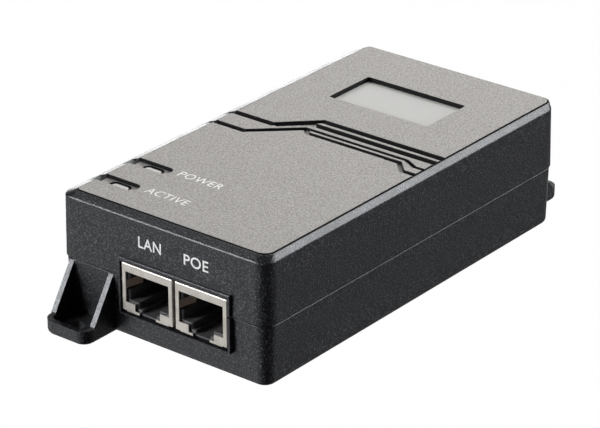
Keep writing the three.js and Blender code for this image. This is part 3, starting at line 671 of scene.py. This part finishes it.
def pipe_cutters():
    return [
        prism(f"hole_{name}", pipe_outline(middle, half, PIPE_GAP), CAVITY_TOP - FAR, TOP + FAR)
        for name, middle, half in pipe_middles()
    ]


def ports_cutter():
    y0, y1 = FRONT - FAR, FRONT + FAR
    return box("port_cutter", PORTS["x0"], PORTS["x1"], y0, y1, PORTS["z0"], PORTS["z1"])


def port_frame(z0, z1, name):
    """One height of the raised frame round the sockets, rooted in the front wall."""
    block = box(name, FRAME["x0"], FRAME["x1"], FRONT - FRAME_PROUD, FRONT + FRAME_ROOT, z0, z1)
    return soften(block, FRAME_EDGE, 3)


def inlet_cutter():
    low, high = box_mm("inlet_housing")
    gap = 0.3
    return box("inlet_cutter", low.x - gap, high.x + gap, REAR - FAR, REAR + FAR, low.z - gap, high.z + gap)


def screw_places():
    places = []
    for name in SCREWS:
        low, high = box_mm(name)
        places.append(((low.x + high.x) / 2, (low.y + high.y) / 2))
    return places


# ---------------------------------------------------------------- case

def upper_case():
    shoulder = TOP - CHAMFER_DROP
    wall = at(body_outline(UPPER_DRAFT), shoulder)
    foot = at(body_outline(0), UPPER_BOTTOM + SEAM_EDGE)
    rim = at(panel_outline(PANEL_GAP + RIM_LAND), TOP - RIM_DROP)
    rings = bend(at(body_outline(SEAM_EDGE), UPPER_BOTTOM), at(body_outline(0), UPPER_BOTTOM), foot)
    rise = EDGE / (shoulder - UPPER_BOTTOM)
    rings += bend(mix(wall, foot, rise), wall, mix(wall, rim, EDGE / CHAMFER_DROP), 6)
    rings.append(mix(wall, rim, 0.93))
    rings.append(rim)
    piece = loft("upper_case_shell", rings)
    cavity = loft("cavity", [
        at(body_outline(WALL), UPPER_BOTTOM - FAR),
        at(body_outline(WALL + UPPER_DRAFT), CAVITY_TOP),
    ])
    pocket = prism("pocket", panel_outline(PANEL_GAP), ROOF_TOP, TOP + FAR)
    carve(piece, cavity)
    join(piece, port_frame(UPPER_BOTTOM, FRAME["z1"], "frame_top"))
    carve(
        piece,
        pocket,
        *groove_cutters(right_limit=0),
        *slot_cutters(),
        *pipe_cutters(),
        ports_cutter(),
        inlet_cutter(),
    )
    return dress(piece, CASE, "case_black", "upper_case")


def top_panel():
    lip = 0.14
    low = at(panel_outline(0), PANEL_LOW.z)
    edge = at(panel_outline(0), TOP - lip)
    plate_rings = [low, *bend(edge, at(panel_outline(0), TOP), at(panel_outline(-lip), TOP), 3)]
    piece = loft("top_panel_plate", plate_rings)
    label_low, label_high = box_mm("window_label")
    margin, radius, sink = 0.15, 0.5, 0.05

    def shape_at(grow):
        return outline(
            label_low.x - margin - grow,
            label_high.x + margin + grow,
            label_low.y - margin - grow,
            label_high.y + margin + grow,
            [radius + grow] * 4,
        )

    window = loft("window_cutter", lip_rings(shape_at, label_low.z - sink, WINDOW_LIP))
    patch_outline = [(x, back(distance)) for x, distance in PATCH["line"]]
    patch = prism("patch", patch_outline, TOP - PATCH["depth"], TOP + FAR)
    carve(piece, window, patch, *groove_cutters(), *slot_cutters(), *pipe_cutters())
    return dress(piece, PANEL, "panel_grey", "top_panel")


def front_face_ear(name, centre, reach):
    """A screw ear on the front face: floor with a hole, low rim and two sloping gussets."""
    x0, x1 = centre - EAR_WIDTH / 2, centre + EAR_WIDTH / 2
    top = LOWER_TOP - EAR_BELOW_SEAM
    foot = reach - EAR_FOOT_INSET
    inside, clear = -2, 0.05

    def out(distance):
        return FRONT - distance

    def plan(margin, rear):
        radius = EAR_RADIUS - margin
        radii = [radius, radius, SQUARE, SQUARE]
        return outline(x0 + margin, x1 - margin, out(reach - margin), out(rear), radii)

    profile = [
        (out(-EAR_ROOT), 0),
        (out(-EAR_ROOT), top),
        (out(-LOWER_STEP), top),
        (out(foot), EAR_RIM + GUSSET_FOOT),
        (out(foot), EAR_RIM),
        (out(reach), EAR_RIM),
        (out(reach), 0.0),
    ]
    piece = side_prism(name, profile[::-1], x0, x1)
    steps = 5
    rings = []
    for step in range(steps + 1):
        angle = math.pi / 2 * step / steps
        margin = EAR_FILLET * (1 - math.sin(angle))
        rings.append(at(plan(margin, inside), EAR_FILLET * (1 - math.cos(angle))))
    rings.append(at(plan(0, inside), TOP))
    combine(piece, [loft("outside", rings)], "INTERSECT")
    pocket = prism("pocket", plan(EAR_WALL, -LOWER_STEP - clear), EAR_FLOOR, TOP)
    hole = post("hole", centre, out(reach - EAR_HOLE_INSET), -FAR, FAR, EAR_HOLE)
    carve(piece, pocket, hole)
    return soften(piece, EAR_EDGE, 3)


def rear_face_ear(name, centre, reach):
    """The same kind of ear turned half round the middle of the body."""
    piece = front_face_ear(name, -centre, reach)
    middle = Vector((0, BODY_MIDDLE, 0)) * MM
    turn = Matrix.Translation(middle) @ Matrix.Rotation(math.pi, 4, "Z") @ Matrix.Translation(-middle)
    piece.data.transform(turn)
    return piece


def lower_case():
    base = LOWER_STEP + LOWER_DRAFT
    steps = 10
    rings = []
    for step in range(steps + 1):
        angle = math.pi / 2 * step / steps
        inset = base + BOTTOM_FILLET * (1 - math.sin(angle))
        rings.append(at(body_outline(inset), BOTTOM_FILLET * (1 - math.cos(angle))))
    corner = at(body_outline(LOWER_STEP), LOWER_TOP)
    below = at(body_outline(LOWER_STEP), LOWER_TOP - SEAM_EDGE)
    inside = at(body_outline(LOWER_STEP + SEAM_EDGE), LOWER_TOP)
    rings += bend(below, corner, inside)
    piece = loft("lower_case_tray", rings)
    tongue_inset = LOWER_STEP + LOWER_WALL - TONGUE_WIDTH
    join(piece, prism("tongue", body_outline(tongue_inset), LOWER_TOP - 1, LOWER_HIGH.z))
    cavity = loft("cavity", [
        at(body_outline(base + LOWER_WALL), LOWER_FLOOR),
        at(body_outline(LOWER_STEP + LOWER_WALL), LOWER_HIGH.z + 1),
    ])
    ears = [front_face_ear("front_ear", **FRONT_EAR), rear_face_ear("rear_ear", **REAR_EAR)]
    carve(piece, cavity)
    bosses = [post("boss", x, y, BOSS_FOOT, LOWER_TOP, BOSS_RADIUS) for x, y in screw_places()]
    join(piece, *ears, port_frame(FRAME["z0"], LOWER_TOP, "frame_foot"), *bosses)
    label_low, label_high = box_mm("rating_label")
    margin, radius, sink = 0.3, 1.5, 0.05
    recess = outline(
        label_low.x - margin,
        label_high.x + margin,
        label_low.y - margin,
        label_high.y + margin,
        [radius] * 4,
    )
    gap = 0.3
    notch = box(
        "notch",
        PORTS["x0"],
        PORTS["x1"],
        back(BOARD_NOTCH),
        back(LOWER_WALL + FAR),
        box_mm("main_board")[0].z - gap,
        PORTS["z0"] + 1,
    )
    holes = []
    for x, y in screw_places():
        holes.append(post("bore", x, y, -FAR, BOSS_BORE_TOP, BOSS_BORE))
        holes.append(post("bore", x, y, -FAR, LOWER_TOP + FAR, SHANK_HOLE, 24))
    carve(
        piece,
        prism("recess", recess, -FAR, label_high.z + sink),
        notch,
        *holes,
        ports_cutter(),
        inlet_cutter(),
    )
    return dress(piece, CASE, "case_black", "lower_case")


# ---------------------------------------------------------------- sockets

# Right halves of the mouth in the shield and of the space for the plug, as (X from the middle, Z)
OPENING = [(6.75, 18.45), (6.75, 10.35), (3.9, 10.35), (3.9, 8.5), (2.6, 8.5), (2.6, 0.0)]
PLUG_SPACE = [(5.95, 18.1), (5.95, 10.8), (3.2, 10.8), (3.2, 9.2), (2.1, 9.2), (2.1, 8.3)]
PLUG_DEPTH = 13

# The plug space opens towards its mouth, up and down from PLUG_MIDDLE, but less so on its stepped foot
PLUG_MIDDLE = 14.0
PLUG_LIP = 0.25
STEPS_TOP = 11
STEPS_LIP_SHARE = 0.4

# Slot for the contacts over the plug space, spring leaves at its sides and the rooms that they stand in
CONTACT_SLOT = {"half": 5, "y0": 1, "y1": 15, "z0": 17.8, "z1": 19.4}
SPRING = {"z0": 13.8, "z1": 16.0, "length": 5.0, "lean": 1.1, "sheet": 0.35}
SPRING_ROOM = {"inner": 5, "outer": 7.15, "depth": 6, "gap": 0.3}


def mirrored(half, centre):
    """A left-right symmetric front outline from its right half, counter-clockwise from the front."""
    right = [(centre + x, z) for x, z in half]
    left = [(centre - x, z) for x, z in reversed(half)]
    return (left + right)[::-1]


def spring_leaf(name, centre, sign, front):
    root = OPENING[0][0]
    start = centre + sign * root
    end = centre + sign * (root - SPRING["lean"])
    sheet = sign * SPRING["sheet"]
    rear = front + SPRING["length"]
    shape = [(start + sheet, front), (end + sheet, rear), (end, rear), (start, front)]
    leaf = prism(name, shape, SPRING["z0"], SPRING["z1"])
    return soften(leaf, 0.08, 2)


def jack_shield(name):
    low, high = box_mm(f"jack_shield_{name}")
    centre = (low.x + high.x) / 2
    block = box(f"socket_shield_{name}", low.x, high.x, low.y, high.y, low.z, high.z)
    piece = soften(block, SHIELD_EDGE, 4)
    hollow = box(
        "hollow",
        low.x + SHIELD_SHEET,
        high.x - SHIELD_SHEET,
        low.y + SHIELD_SHEET,
        high.y + FAR,
        low.z - FAR,
        high.z - SHIELD_SHEET,
    )
    mouth = front_prism("mouth", mirrored(OPENING, centre), low.y - FAR, low.y + 2)
    nick, past = 1.2, 0.3
    nicks = [
        box("nick", x - past, x + nick + past, low.y - 1, low.y + 2, low.z - 1, low.z + SHIELD_SHEET)
        for x in (low.x, high.x - nick)
    ]
    carve(piece, hollow, mouth, *nicks)
    for side, sign in (("left", -1), ("right", 1)):
        leaf = spring_leaf(f"socket_spring_{name}_{side}", centre, sign, low.y + 0.1)
        dress(leaf, BRONZE, "shield_nickel")
    return dress(piece, NICKEL, "shield_nickel", f"jack_shield_{name}")


def jack_insert(name):
    low, high = box_mm(f"jack_insert_{name}")
    centre = (low.x + high.x) / 2
    piece = box(f"socket_insert_{name}", low.x, high.x, low.y, high.y, low.z, high.z)
    shape = mirrored(PLUG_SPACE, centre)
    flared = []
    for x, z in shape:
        share = STEPS_LIP_SHARE if z < STEPS_TOP else 1
        rise = math.copysign(PLUG_LIP, z - PLUG_MIDDLE) * share
        flared.append((x + math.copysign(PLUG_LIP, x - centre), z + rise))
    mouth_rings = [
        [Vector((x, low.y + PLUG_DEPTH, z)) for x, z in shape],
        [Vector((x, low.y + PLUG_LIP, z)) for x, z in shape],
        [Vector((x, low.y, z)) for x, z in flared],
        [Vector((x, low.y - 1, z)) for x, z in flared],
    ]
    contact_slot = box(
        "contact_slot",
        centre - CONTACT_SLOT["half"],
        centre + CONTACT_SLOT["half"],
        low.y + CONTACT_SLOT["y0"],
        low.y + CONTACT_SLOT["y1"],
        CONTACT_SLOT["z0"],
        CONTACT_SLOT["z1"],
    )
    rooms = []
    for sign in (-1, 1):
        rooms.append(box(
            "room",
            *sorted((centre + sign * SPRING_ROOM["outer"], centre + sign * SPRING_ROOM["inner"])),
            low.y - FAR,
            low.y + SPRING_ROOM["depth"],
            SPRING["z0"] - SPRING_ROOM["gap"],
            SPRING["z1"] + SPRING_ROOM["gap"],
        ))
    carve(piece, loft("plug_space", mouth_rings), contact_slot, *rooms)
    return dress(piece, NYLON, "insert_black", f"jack_insert_{name}")


# ---------------------------------------------------------------- rear inlet, pins, screws, light pipes

# Half width, half height and corner cuts of the inlet's mouth, its depth, its bevelled edge and how far
# the housing's face stands out past the CAD one
INLET_MOUTH = (12.2, 8.2, 4.0)
INLET_DEPTH = 17.0
INLET_LIP = 0.35
INLET_PROUD = 0.6


def inlet_housing():
    low, high = box_mm("inlet_housing")
    centre = (low + high) / 2
    face = high.y + INLET_PROUD
    piece = soften(box("inlet_body", low.x, high.x, low.y, face, low.z, high.z), 0.3, 3)
    width, height, bevel = INLET_MOUTH
    corners = [
        (-width, -height),
        (width, -height),
        (width, height - bevel),
        (width - bevel, height),
        (bevel - width, height),
        (-width, height - bevel),
    ]
    shape = [(centre.x + x, centre.z + z) for x, z in corners]
    flared = [
        (centre.x + x * (1 + INLET_LIP / width), centre.z + z * (1 + INLET_LIP / height))
        for x, z in corners
    ]
    past = 0.5
    rings = [
        [Vector((x, face + past, z)) for x, z in reversed(flared)],
        [Vector((x, face, z)) for x, z in reversed(flared)],
        [Vector((x, face - INLET_LIP, z)) for x, z in reversed(shape)],
        [Vector((x, face - INLET_DEPTH, z)) for x, z in reversed(shape)],
    ]
    cutters = [loft("inlet_mouth", rings)]
    gap = 0.3
    for pin in ("line", "neutral", "earth"):
        pin_low, pin_high = box_mm(f"inlet_pin_{pin}")
        cutters.append(box(
            "pin_hole",
            pin_low.x - gap,
            pin_high.x + gap,
            low.y - 1,
            face - past,
            pin_low.z - gap,
            pin_high.z + gap,
        ))
    carve(piece, *cutters)
    return dress(piece, NYLON, "insert_black", "inlet_housing")


def inlet_pin(name):
    low, high = box_mm(f"inlet_pin_{name}")
    middle = (low + high) / 2
    half_x, half_z = (high.x - low.x) / 2, (high.z - low.z) / 2
    nose, tip, steps = 1.6, 0.35, 4

    def section(y, share):
        reach_x = half_x * share
        reach_z = half_z - half_x + half_x * share
        points = []
        for x, z in ((1, -1), (1, 1), (-1, 1), (-1, -1)):
            points.append(Vector((middle.x + x * reach_x, y, middle.z + z * reach_z)))
        return points

    rings = [section(low.y, 1), section(high.y - nose, 1)]
    for step in range(1, steps + 1):
        angle = math.pi / 2 * step / steps
        rings.append(section(high.y - nose * (1 - math.sin(angle)), tip + (1 - tip) * math.cos(angle)))
    piece = loft(f"pin_{name}", rings)
    soften(piece, 0.2, 3, 50)
    return dress(piece, BRASS, "pin_brass", f"inlet_pin_{name}")


def lathe(name, x, y, profile, steps):
    """A piece turned about an upright axis, from (radius, z) points going up."""
    rings = []
    for radius, z in profile:
        rings.append([
            Vector((
                x + radius * math.cos(2 * math.pi * i / steps),
                y + radius * math.sin(2 * math.pi * i / steps),
                z,
            ))
            for i in range(steps)
        ])
    return loft(name, rings)


def case_screw(name):
    """A pan-head screw put in from below, with a crossed recess and a ribbed shank for its thread."""
    low, high = box_mm(name)
    x, y = (low.x + high.x) / 2, (low.y + high.y) / 2
    head = high.x - x
    dome, crown, steps = 0.7, 0.25, 6
    profile = []
    for step in range(steps + 1):
        angle = math.pi / 2 * step / steps
        radius = head * (crown + (1 - crown) * math.sin(angle))
        profile.append((radius, low.z + dome * (1 - math.cos(angle))))
    head_top, neck, neck_z = 2.3, 1.2, 2.4
    profile += [(head, head_top), (neck, neck_z)]
    pitch, crest, root, point = 0.9, 1.3, 1.0, 0.3
    z = neck_z + 0.5
    while z + pitch < high.z - 1:
        profile += [(root, z), (crest, z + pitch / 2)]
        z += pitch
    profile += [(root, z), (point, high.z)]
    piece = lathe(f"screw_{name[-1]}", x, y, profile, 40)
    arm, slit, deep = 1.45, 0.32, 1.7
    turn_between_screws = 0.35
    turned = turn_between_screws * int(name[-1])
    cutters = []
    for quarter in (0, math.pi / 2):
        blade = box("blade", -arm, arm, -slit, slit, -FAR, deep)
        blade.data.transform(Matrix.Rotation(turned + quarter, 4, "Z"))
        blade.data.transform(Matrix.Translation(Vector((x, y, 0)) * MM))
        cutters.append(blade)
    carve(piece, *cutters)
    return dress(piece, STEEL, "screw_steel", name)


def light_pipe(name, middle, half):
    low, _ = box_mm(name)
    top = TOP - SLOT_DEPTH - PIPE_DROP
    edge, steps = 0.22, 5
    rings = [at(pipe_outline(middle, half, -PIPE_INSET), z) for z in (low.z, top - edge)]
    for step in range(1, steps + 1):
        angle = math.pi / 2 * step / steps
        shrink = PIPE_INSET + edge * (1 - math.cos(angle))
        rings.append(at(pipe_outline(middle, half, -shrink), top - edge * (1 - math.sin(angle))))
    piece = loft(f"lens_{name}", rings)
    return dress(piece, LENS, "light_pipe", name, sharp=60)


# ---------------------------------------------------------------- lettering

INK_THICKNESS = 0.04
INK_SINK = 0.01


def lettering(name, words, width, height, place, bold, spacing):
    """Flat printed letters: place turns the letters' own plane (x along, y up) into the row frame."""
    curve = bpy.data.curves.new(name, "FONT")
    curve.body = words
    curve.size = 1.0
    curve.space_character = spacing
    curve.offset = bold
    # Any thickness does here, because the letters are brought to their real size below
    curve.extrude = 0.004
    curve.resolution_u = 6
    holder = link(name + "_curve", curve)
    bpy.context.view_layer.update()
    graph = bpy.context.evaluated_depsgraph_get()
    mesh = bpy.data.meshes.new_from_object(holder.evaluated_get(graph))
    bpy.data.objects.remove(holder)
    low = Vector((min(v.co[k] for v in mesh.vertices) for k in range(3)))
    high = Vector((max(v.co[k] for v in mesh.vertices) for k in range(3)))
    size = high - low
    for vertex in mesh.vertices:
        vertex.co = Vector((
            (vertex.co.x - low.x) / size.x * width,
            (vertex.co.y - low.y) / size.y * height,
            (vertex.co.z - low.z) / size.z * INK_THICKNESS,
        )) * MM
    mesh.transform(place)
    return dress(link(name, mesh), INK, "label_light")


def on_top(x, y):
    return Matrix.Translation(Vector((x, y, TOP - INK_SINK)) * MM)


def on_front(x, z):
    lean = math.atan(UPPER_DRAFT / (TOP - CHAMFER_DROP - UPPER_BOTTOM))
    inset = (z - UPPER_BOTTOM) * math.tan(lean)
    move = Matrix.Translation(Vector((x, FRONT + inset + INK_SINK, z)) * MM)
    return move @ Matrix.Rotation(math.pi / 2 - lean, 4, "X")


# ---------------------------------------------------------------- making the object

upper_case()
top_panel()
lower_case()
for socket in ("lan", "poe"):
    jack_shield(socket)
    jack_insert(socket)
inlet_housing()
for pin in ("line", "neutral", "earth"):
    inlet_pin(pin)
for screw in SCREWS:
    case_screw(screw)
for pipe, pipe_middle, pipe_half in pipe_middles():
    light_pipe(pipe, pipe_middle, pipe_half)

lettering("letters_power", "POWER", 13.4, 2.75, on_top(-14.3, back(22.8)), -0.004, 1.1)
lettering("letters_active", "ACTIVE", 12.8, 2.75, on_top(-14.3, back(10.85)), -0.004, 1.08)
lettering("letters_lan", "LAN", 7.1, 2.85, on_front(-6.85, 25.7), 0.010, 1.06)
lettering("letters_poe", "POE", 7.5, 2.85, on_front(7.3, 25.45), 0.010, 1.06)

# CAD nodes that are shown as they are, with the material that each gets
CARRIED = {
    "window_label": LABEL,
    "rating_label": LABEL,
    "main_board": BOARD,
    "jack_contacts_lan": GOLD,
    "jack_contacts_poe": GOLD,
    "indicator_led_power": LENS,
    "indicator_led_active": LENS,
    "lan_magnetics": EPOXY,
    "controller_chip": EPOXY,
    "optocoupler": EPOXY,
    "output_rectifier": EPOXY,
    "primary_transistor": EPOXY,
    "bridge_rectifier": EPOXY,
    "output_inductor": COPPER,
    "common_mode_choke": COPPER,
    "output_capacitor_1": SLEEVE,
    "output_capacitor_2": SLEEVE,
    "bulk_capacitor": SLEEVE,
    "secondary_heatsink": ALUMINIUM,
    "primary_heatsink": ALUMINIUM,
    "transformer_core": FERRITE,
    "transformer_winding": TAPE,
    "y_capacitor": DISC,
    "surge_varistor": DISC,
    "x_capacitor": FILM,
    "mains_fuse": GLASS,
    "insulating_sheet": PAPER,
}
# The window label's square edge is rounded a little
soft_edge = frame["nodes"]["window_label"].modifiers.new("soft_edge", "BEVEL")
soft_edge.width = 0.12 * MM
soft_edge.segments = 2
for node_name, node_material in CARRIED.items():
    node = frame["nodes"][node_name]
    node.data.materials.clear()
    node.data.materials.append(node_material)


# ---------------------------------------------------------------- floor, light and camera

def studio_paper():
    """Evenly lit white paper."""
    n = Nodes("studio_paper")
    n.set(Roughness=0.9, Specular_IOR_Level=0.0, Emission_Strength=1.0, Base_Color=(0, 0, 0, 1))
    tone = n.noise(400.0, 1.0)
    n.feed("Emission Color", n.ramp(tone, (0.3, 0.995), (0.7, 1.0)))
    return n.material


def background():
    """A pale floor and a backdrop far round it; the light cards of the world light the object instead."""
    reach, floor_low, floor_high = 3000, -2, -0.02
    backdrop_radius = 5
    paper = studio_paper()
    floor = box("floor", -reach, reach, -reach, reach, floor_low, floor_high)
    ball = bmesh.new()
    bmesh.ops.create_icosphere(ball, subdivisions=4, radius=backdrop_radius)
    mesh = bpy.data.meshes.new("backdrop")
    ball.to_mesh(mesh)
    ball.free()
    for piece in (floor, link("backdrop", mesh)):
        piece.data.materials.append(paper)
        piece.visible_diffuse = False
        piece.visible_glossy = False
        piece.visible_transmission = False
        piece.visible_shadow = False


# Light cards far round the object: direction, the half angles where a card is full and
# where it has faded out, and brightness against white paper
CARDS = {
    "back_left_backdrop": ((-0.64, 0.70, -0.28), 14, 27, 4.6),
    "front_left_floor": ((-0.55, -0.66, -0.50), 22, 52, 0.74),
    "right_back_floor": ((0.50, 0.78, -0.42), 10, 48, 0.17),
    "front_left_box": ((-0.57, -0.74, 0.37), 8, 14, 27.0),
    "right_back_box": ((0.61, 0.70, 0.36), 13, 24, 10.0),
}
BASE_GLOW = 0.04


def world():
    sky = bpy.data.worlds.new("studio")
    sky.use_nodes = True
    tree = sky.node_tree
    direction = tree.nodes.new("ShaderNodeTexCoord").outputs["Generated"]
    total = None
    for toward, full, faded, brightness in CARDS.values():
        dot = tree.nodes.new("ShaderNodeVectorMath")
        dot.operation = "DOT_PRODUCT"
        dot.inputs[1].default_value = Vector(toward).normalized()
        tree.links.new(direction, dot.inputs[0])
        card = tree.nodes.new("ShaderNodeMapRange")
        card.interpolation_type = "SMOOTHSTEP"
        card.inputs["From Min"].default_value = math.cos(math.radians(faded))
        card.inputs["From Max"].default_value = math.cos(math.radians(full))
        card.inputs["To Max"].default_value = brightness
        tree.links.new(dot.outputs["Value"], card.inputs["Value"])
        add = tree.nodes.new("ShaderNodeMath")
        tree.links.new(card.outputs["Result"], add.inputs[0])
        if total is None:
            add.inputs[1].default_value = BASE_GLOW
        else:
            tree.links.new(total, add.inputs[1])
        total = add.outputs["Value"]
    backdrop = tree.nodes["Background"]
    backdrop.inputs["Color"].default_value = (1, 1, 1, 1)
    tree.links.new(total, backdrop.inputs["Strength"])
    SCENE.world = sky


def soft_light(name, direction, distance, size, power, colour):
    """A soft box that faces the object from a direction; distance and size in metres, power in watts."""
    data = bpy.data.lights.new(name, "AREA")
    data.shape = "RECTANGLE"
    data.size, data.size_y = size
    data.energy = power
    data.color = colour
    lamp = link(name, data)
    toward = Vector(direction).normalized()
    aim = Vector((0, 0, 0.02))
    lamp.location = toward * distance + aim
    lamp.rotation_euler = toward.to_track_quat("Z", "Y").to_euler()


# Camera: azimuth, height and roll in degrees, focal length for a 36 mm sensor, and its place from the
# point of the floor under the middle of the front face
CAMERA_ANGLES = (38.70, 25.36, -0.19)
CAMERA_LENS = 178.2
CAMERA_STAND = (416.95, -467.73, 332.87)


def camera():
    """The camera's direction from the object is an azimuth and a height above the floor."""
    azimuth, height, roll = (math.radians(angle) for angle in CAMERA_ANGLES)
    away = Vector((
        math.sin(azimuth) * math.cos(height),
        -math.cos(azimuth) * math.cos(height),
        math.sin(height),
    ))
    level = Vector((math.cos(azimuth), math.sin(azimuth), 0))
    upright = away.cross(level)
    right = level * math.cos(roll) + upright * math.sin(roll)
    up = upright * math.cos(roll) - level * math.sin(roll)
    data = bpy.data.cameras.new("camera")
    data.sensor_width = 36
    data.lens = CAMERA_LENS
    data.clip_start = 0.05
    data.clip_end = 20
    eye = link("camera", data)
    turn = Matrix((right, up, away)).transposed().to_4x4()
    stand = Vector(CAMERA_STAND) + Vector((0, FRONT, 0))
    eye.matrix_world = Matrix.Translation(stand * MM) @ turn
    SCENE.camera = eye


background()
world()
camera()
SCENE.view_settings.view_transform = "Standard"
soft_light("overhead_box", (-0.20, 0.62, 0.75), 0.48, (0.39, 0.39), 1.42, (1.0, 0.985, 0.96))
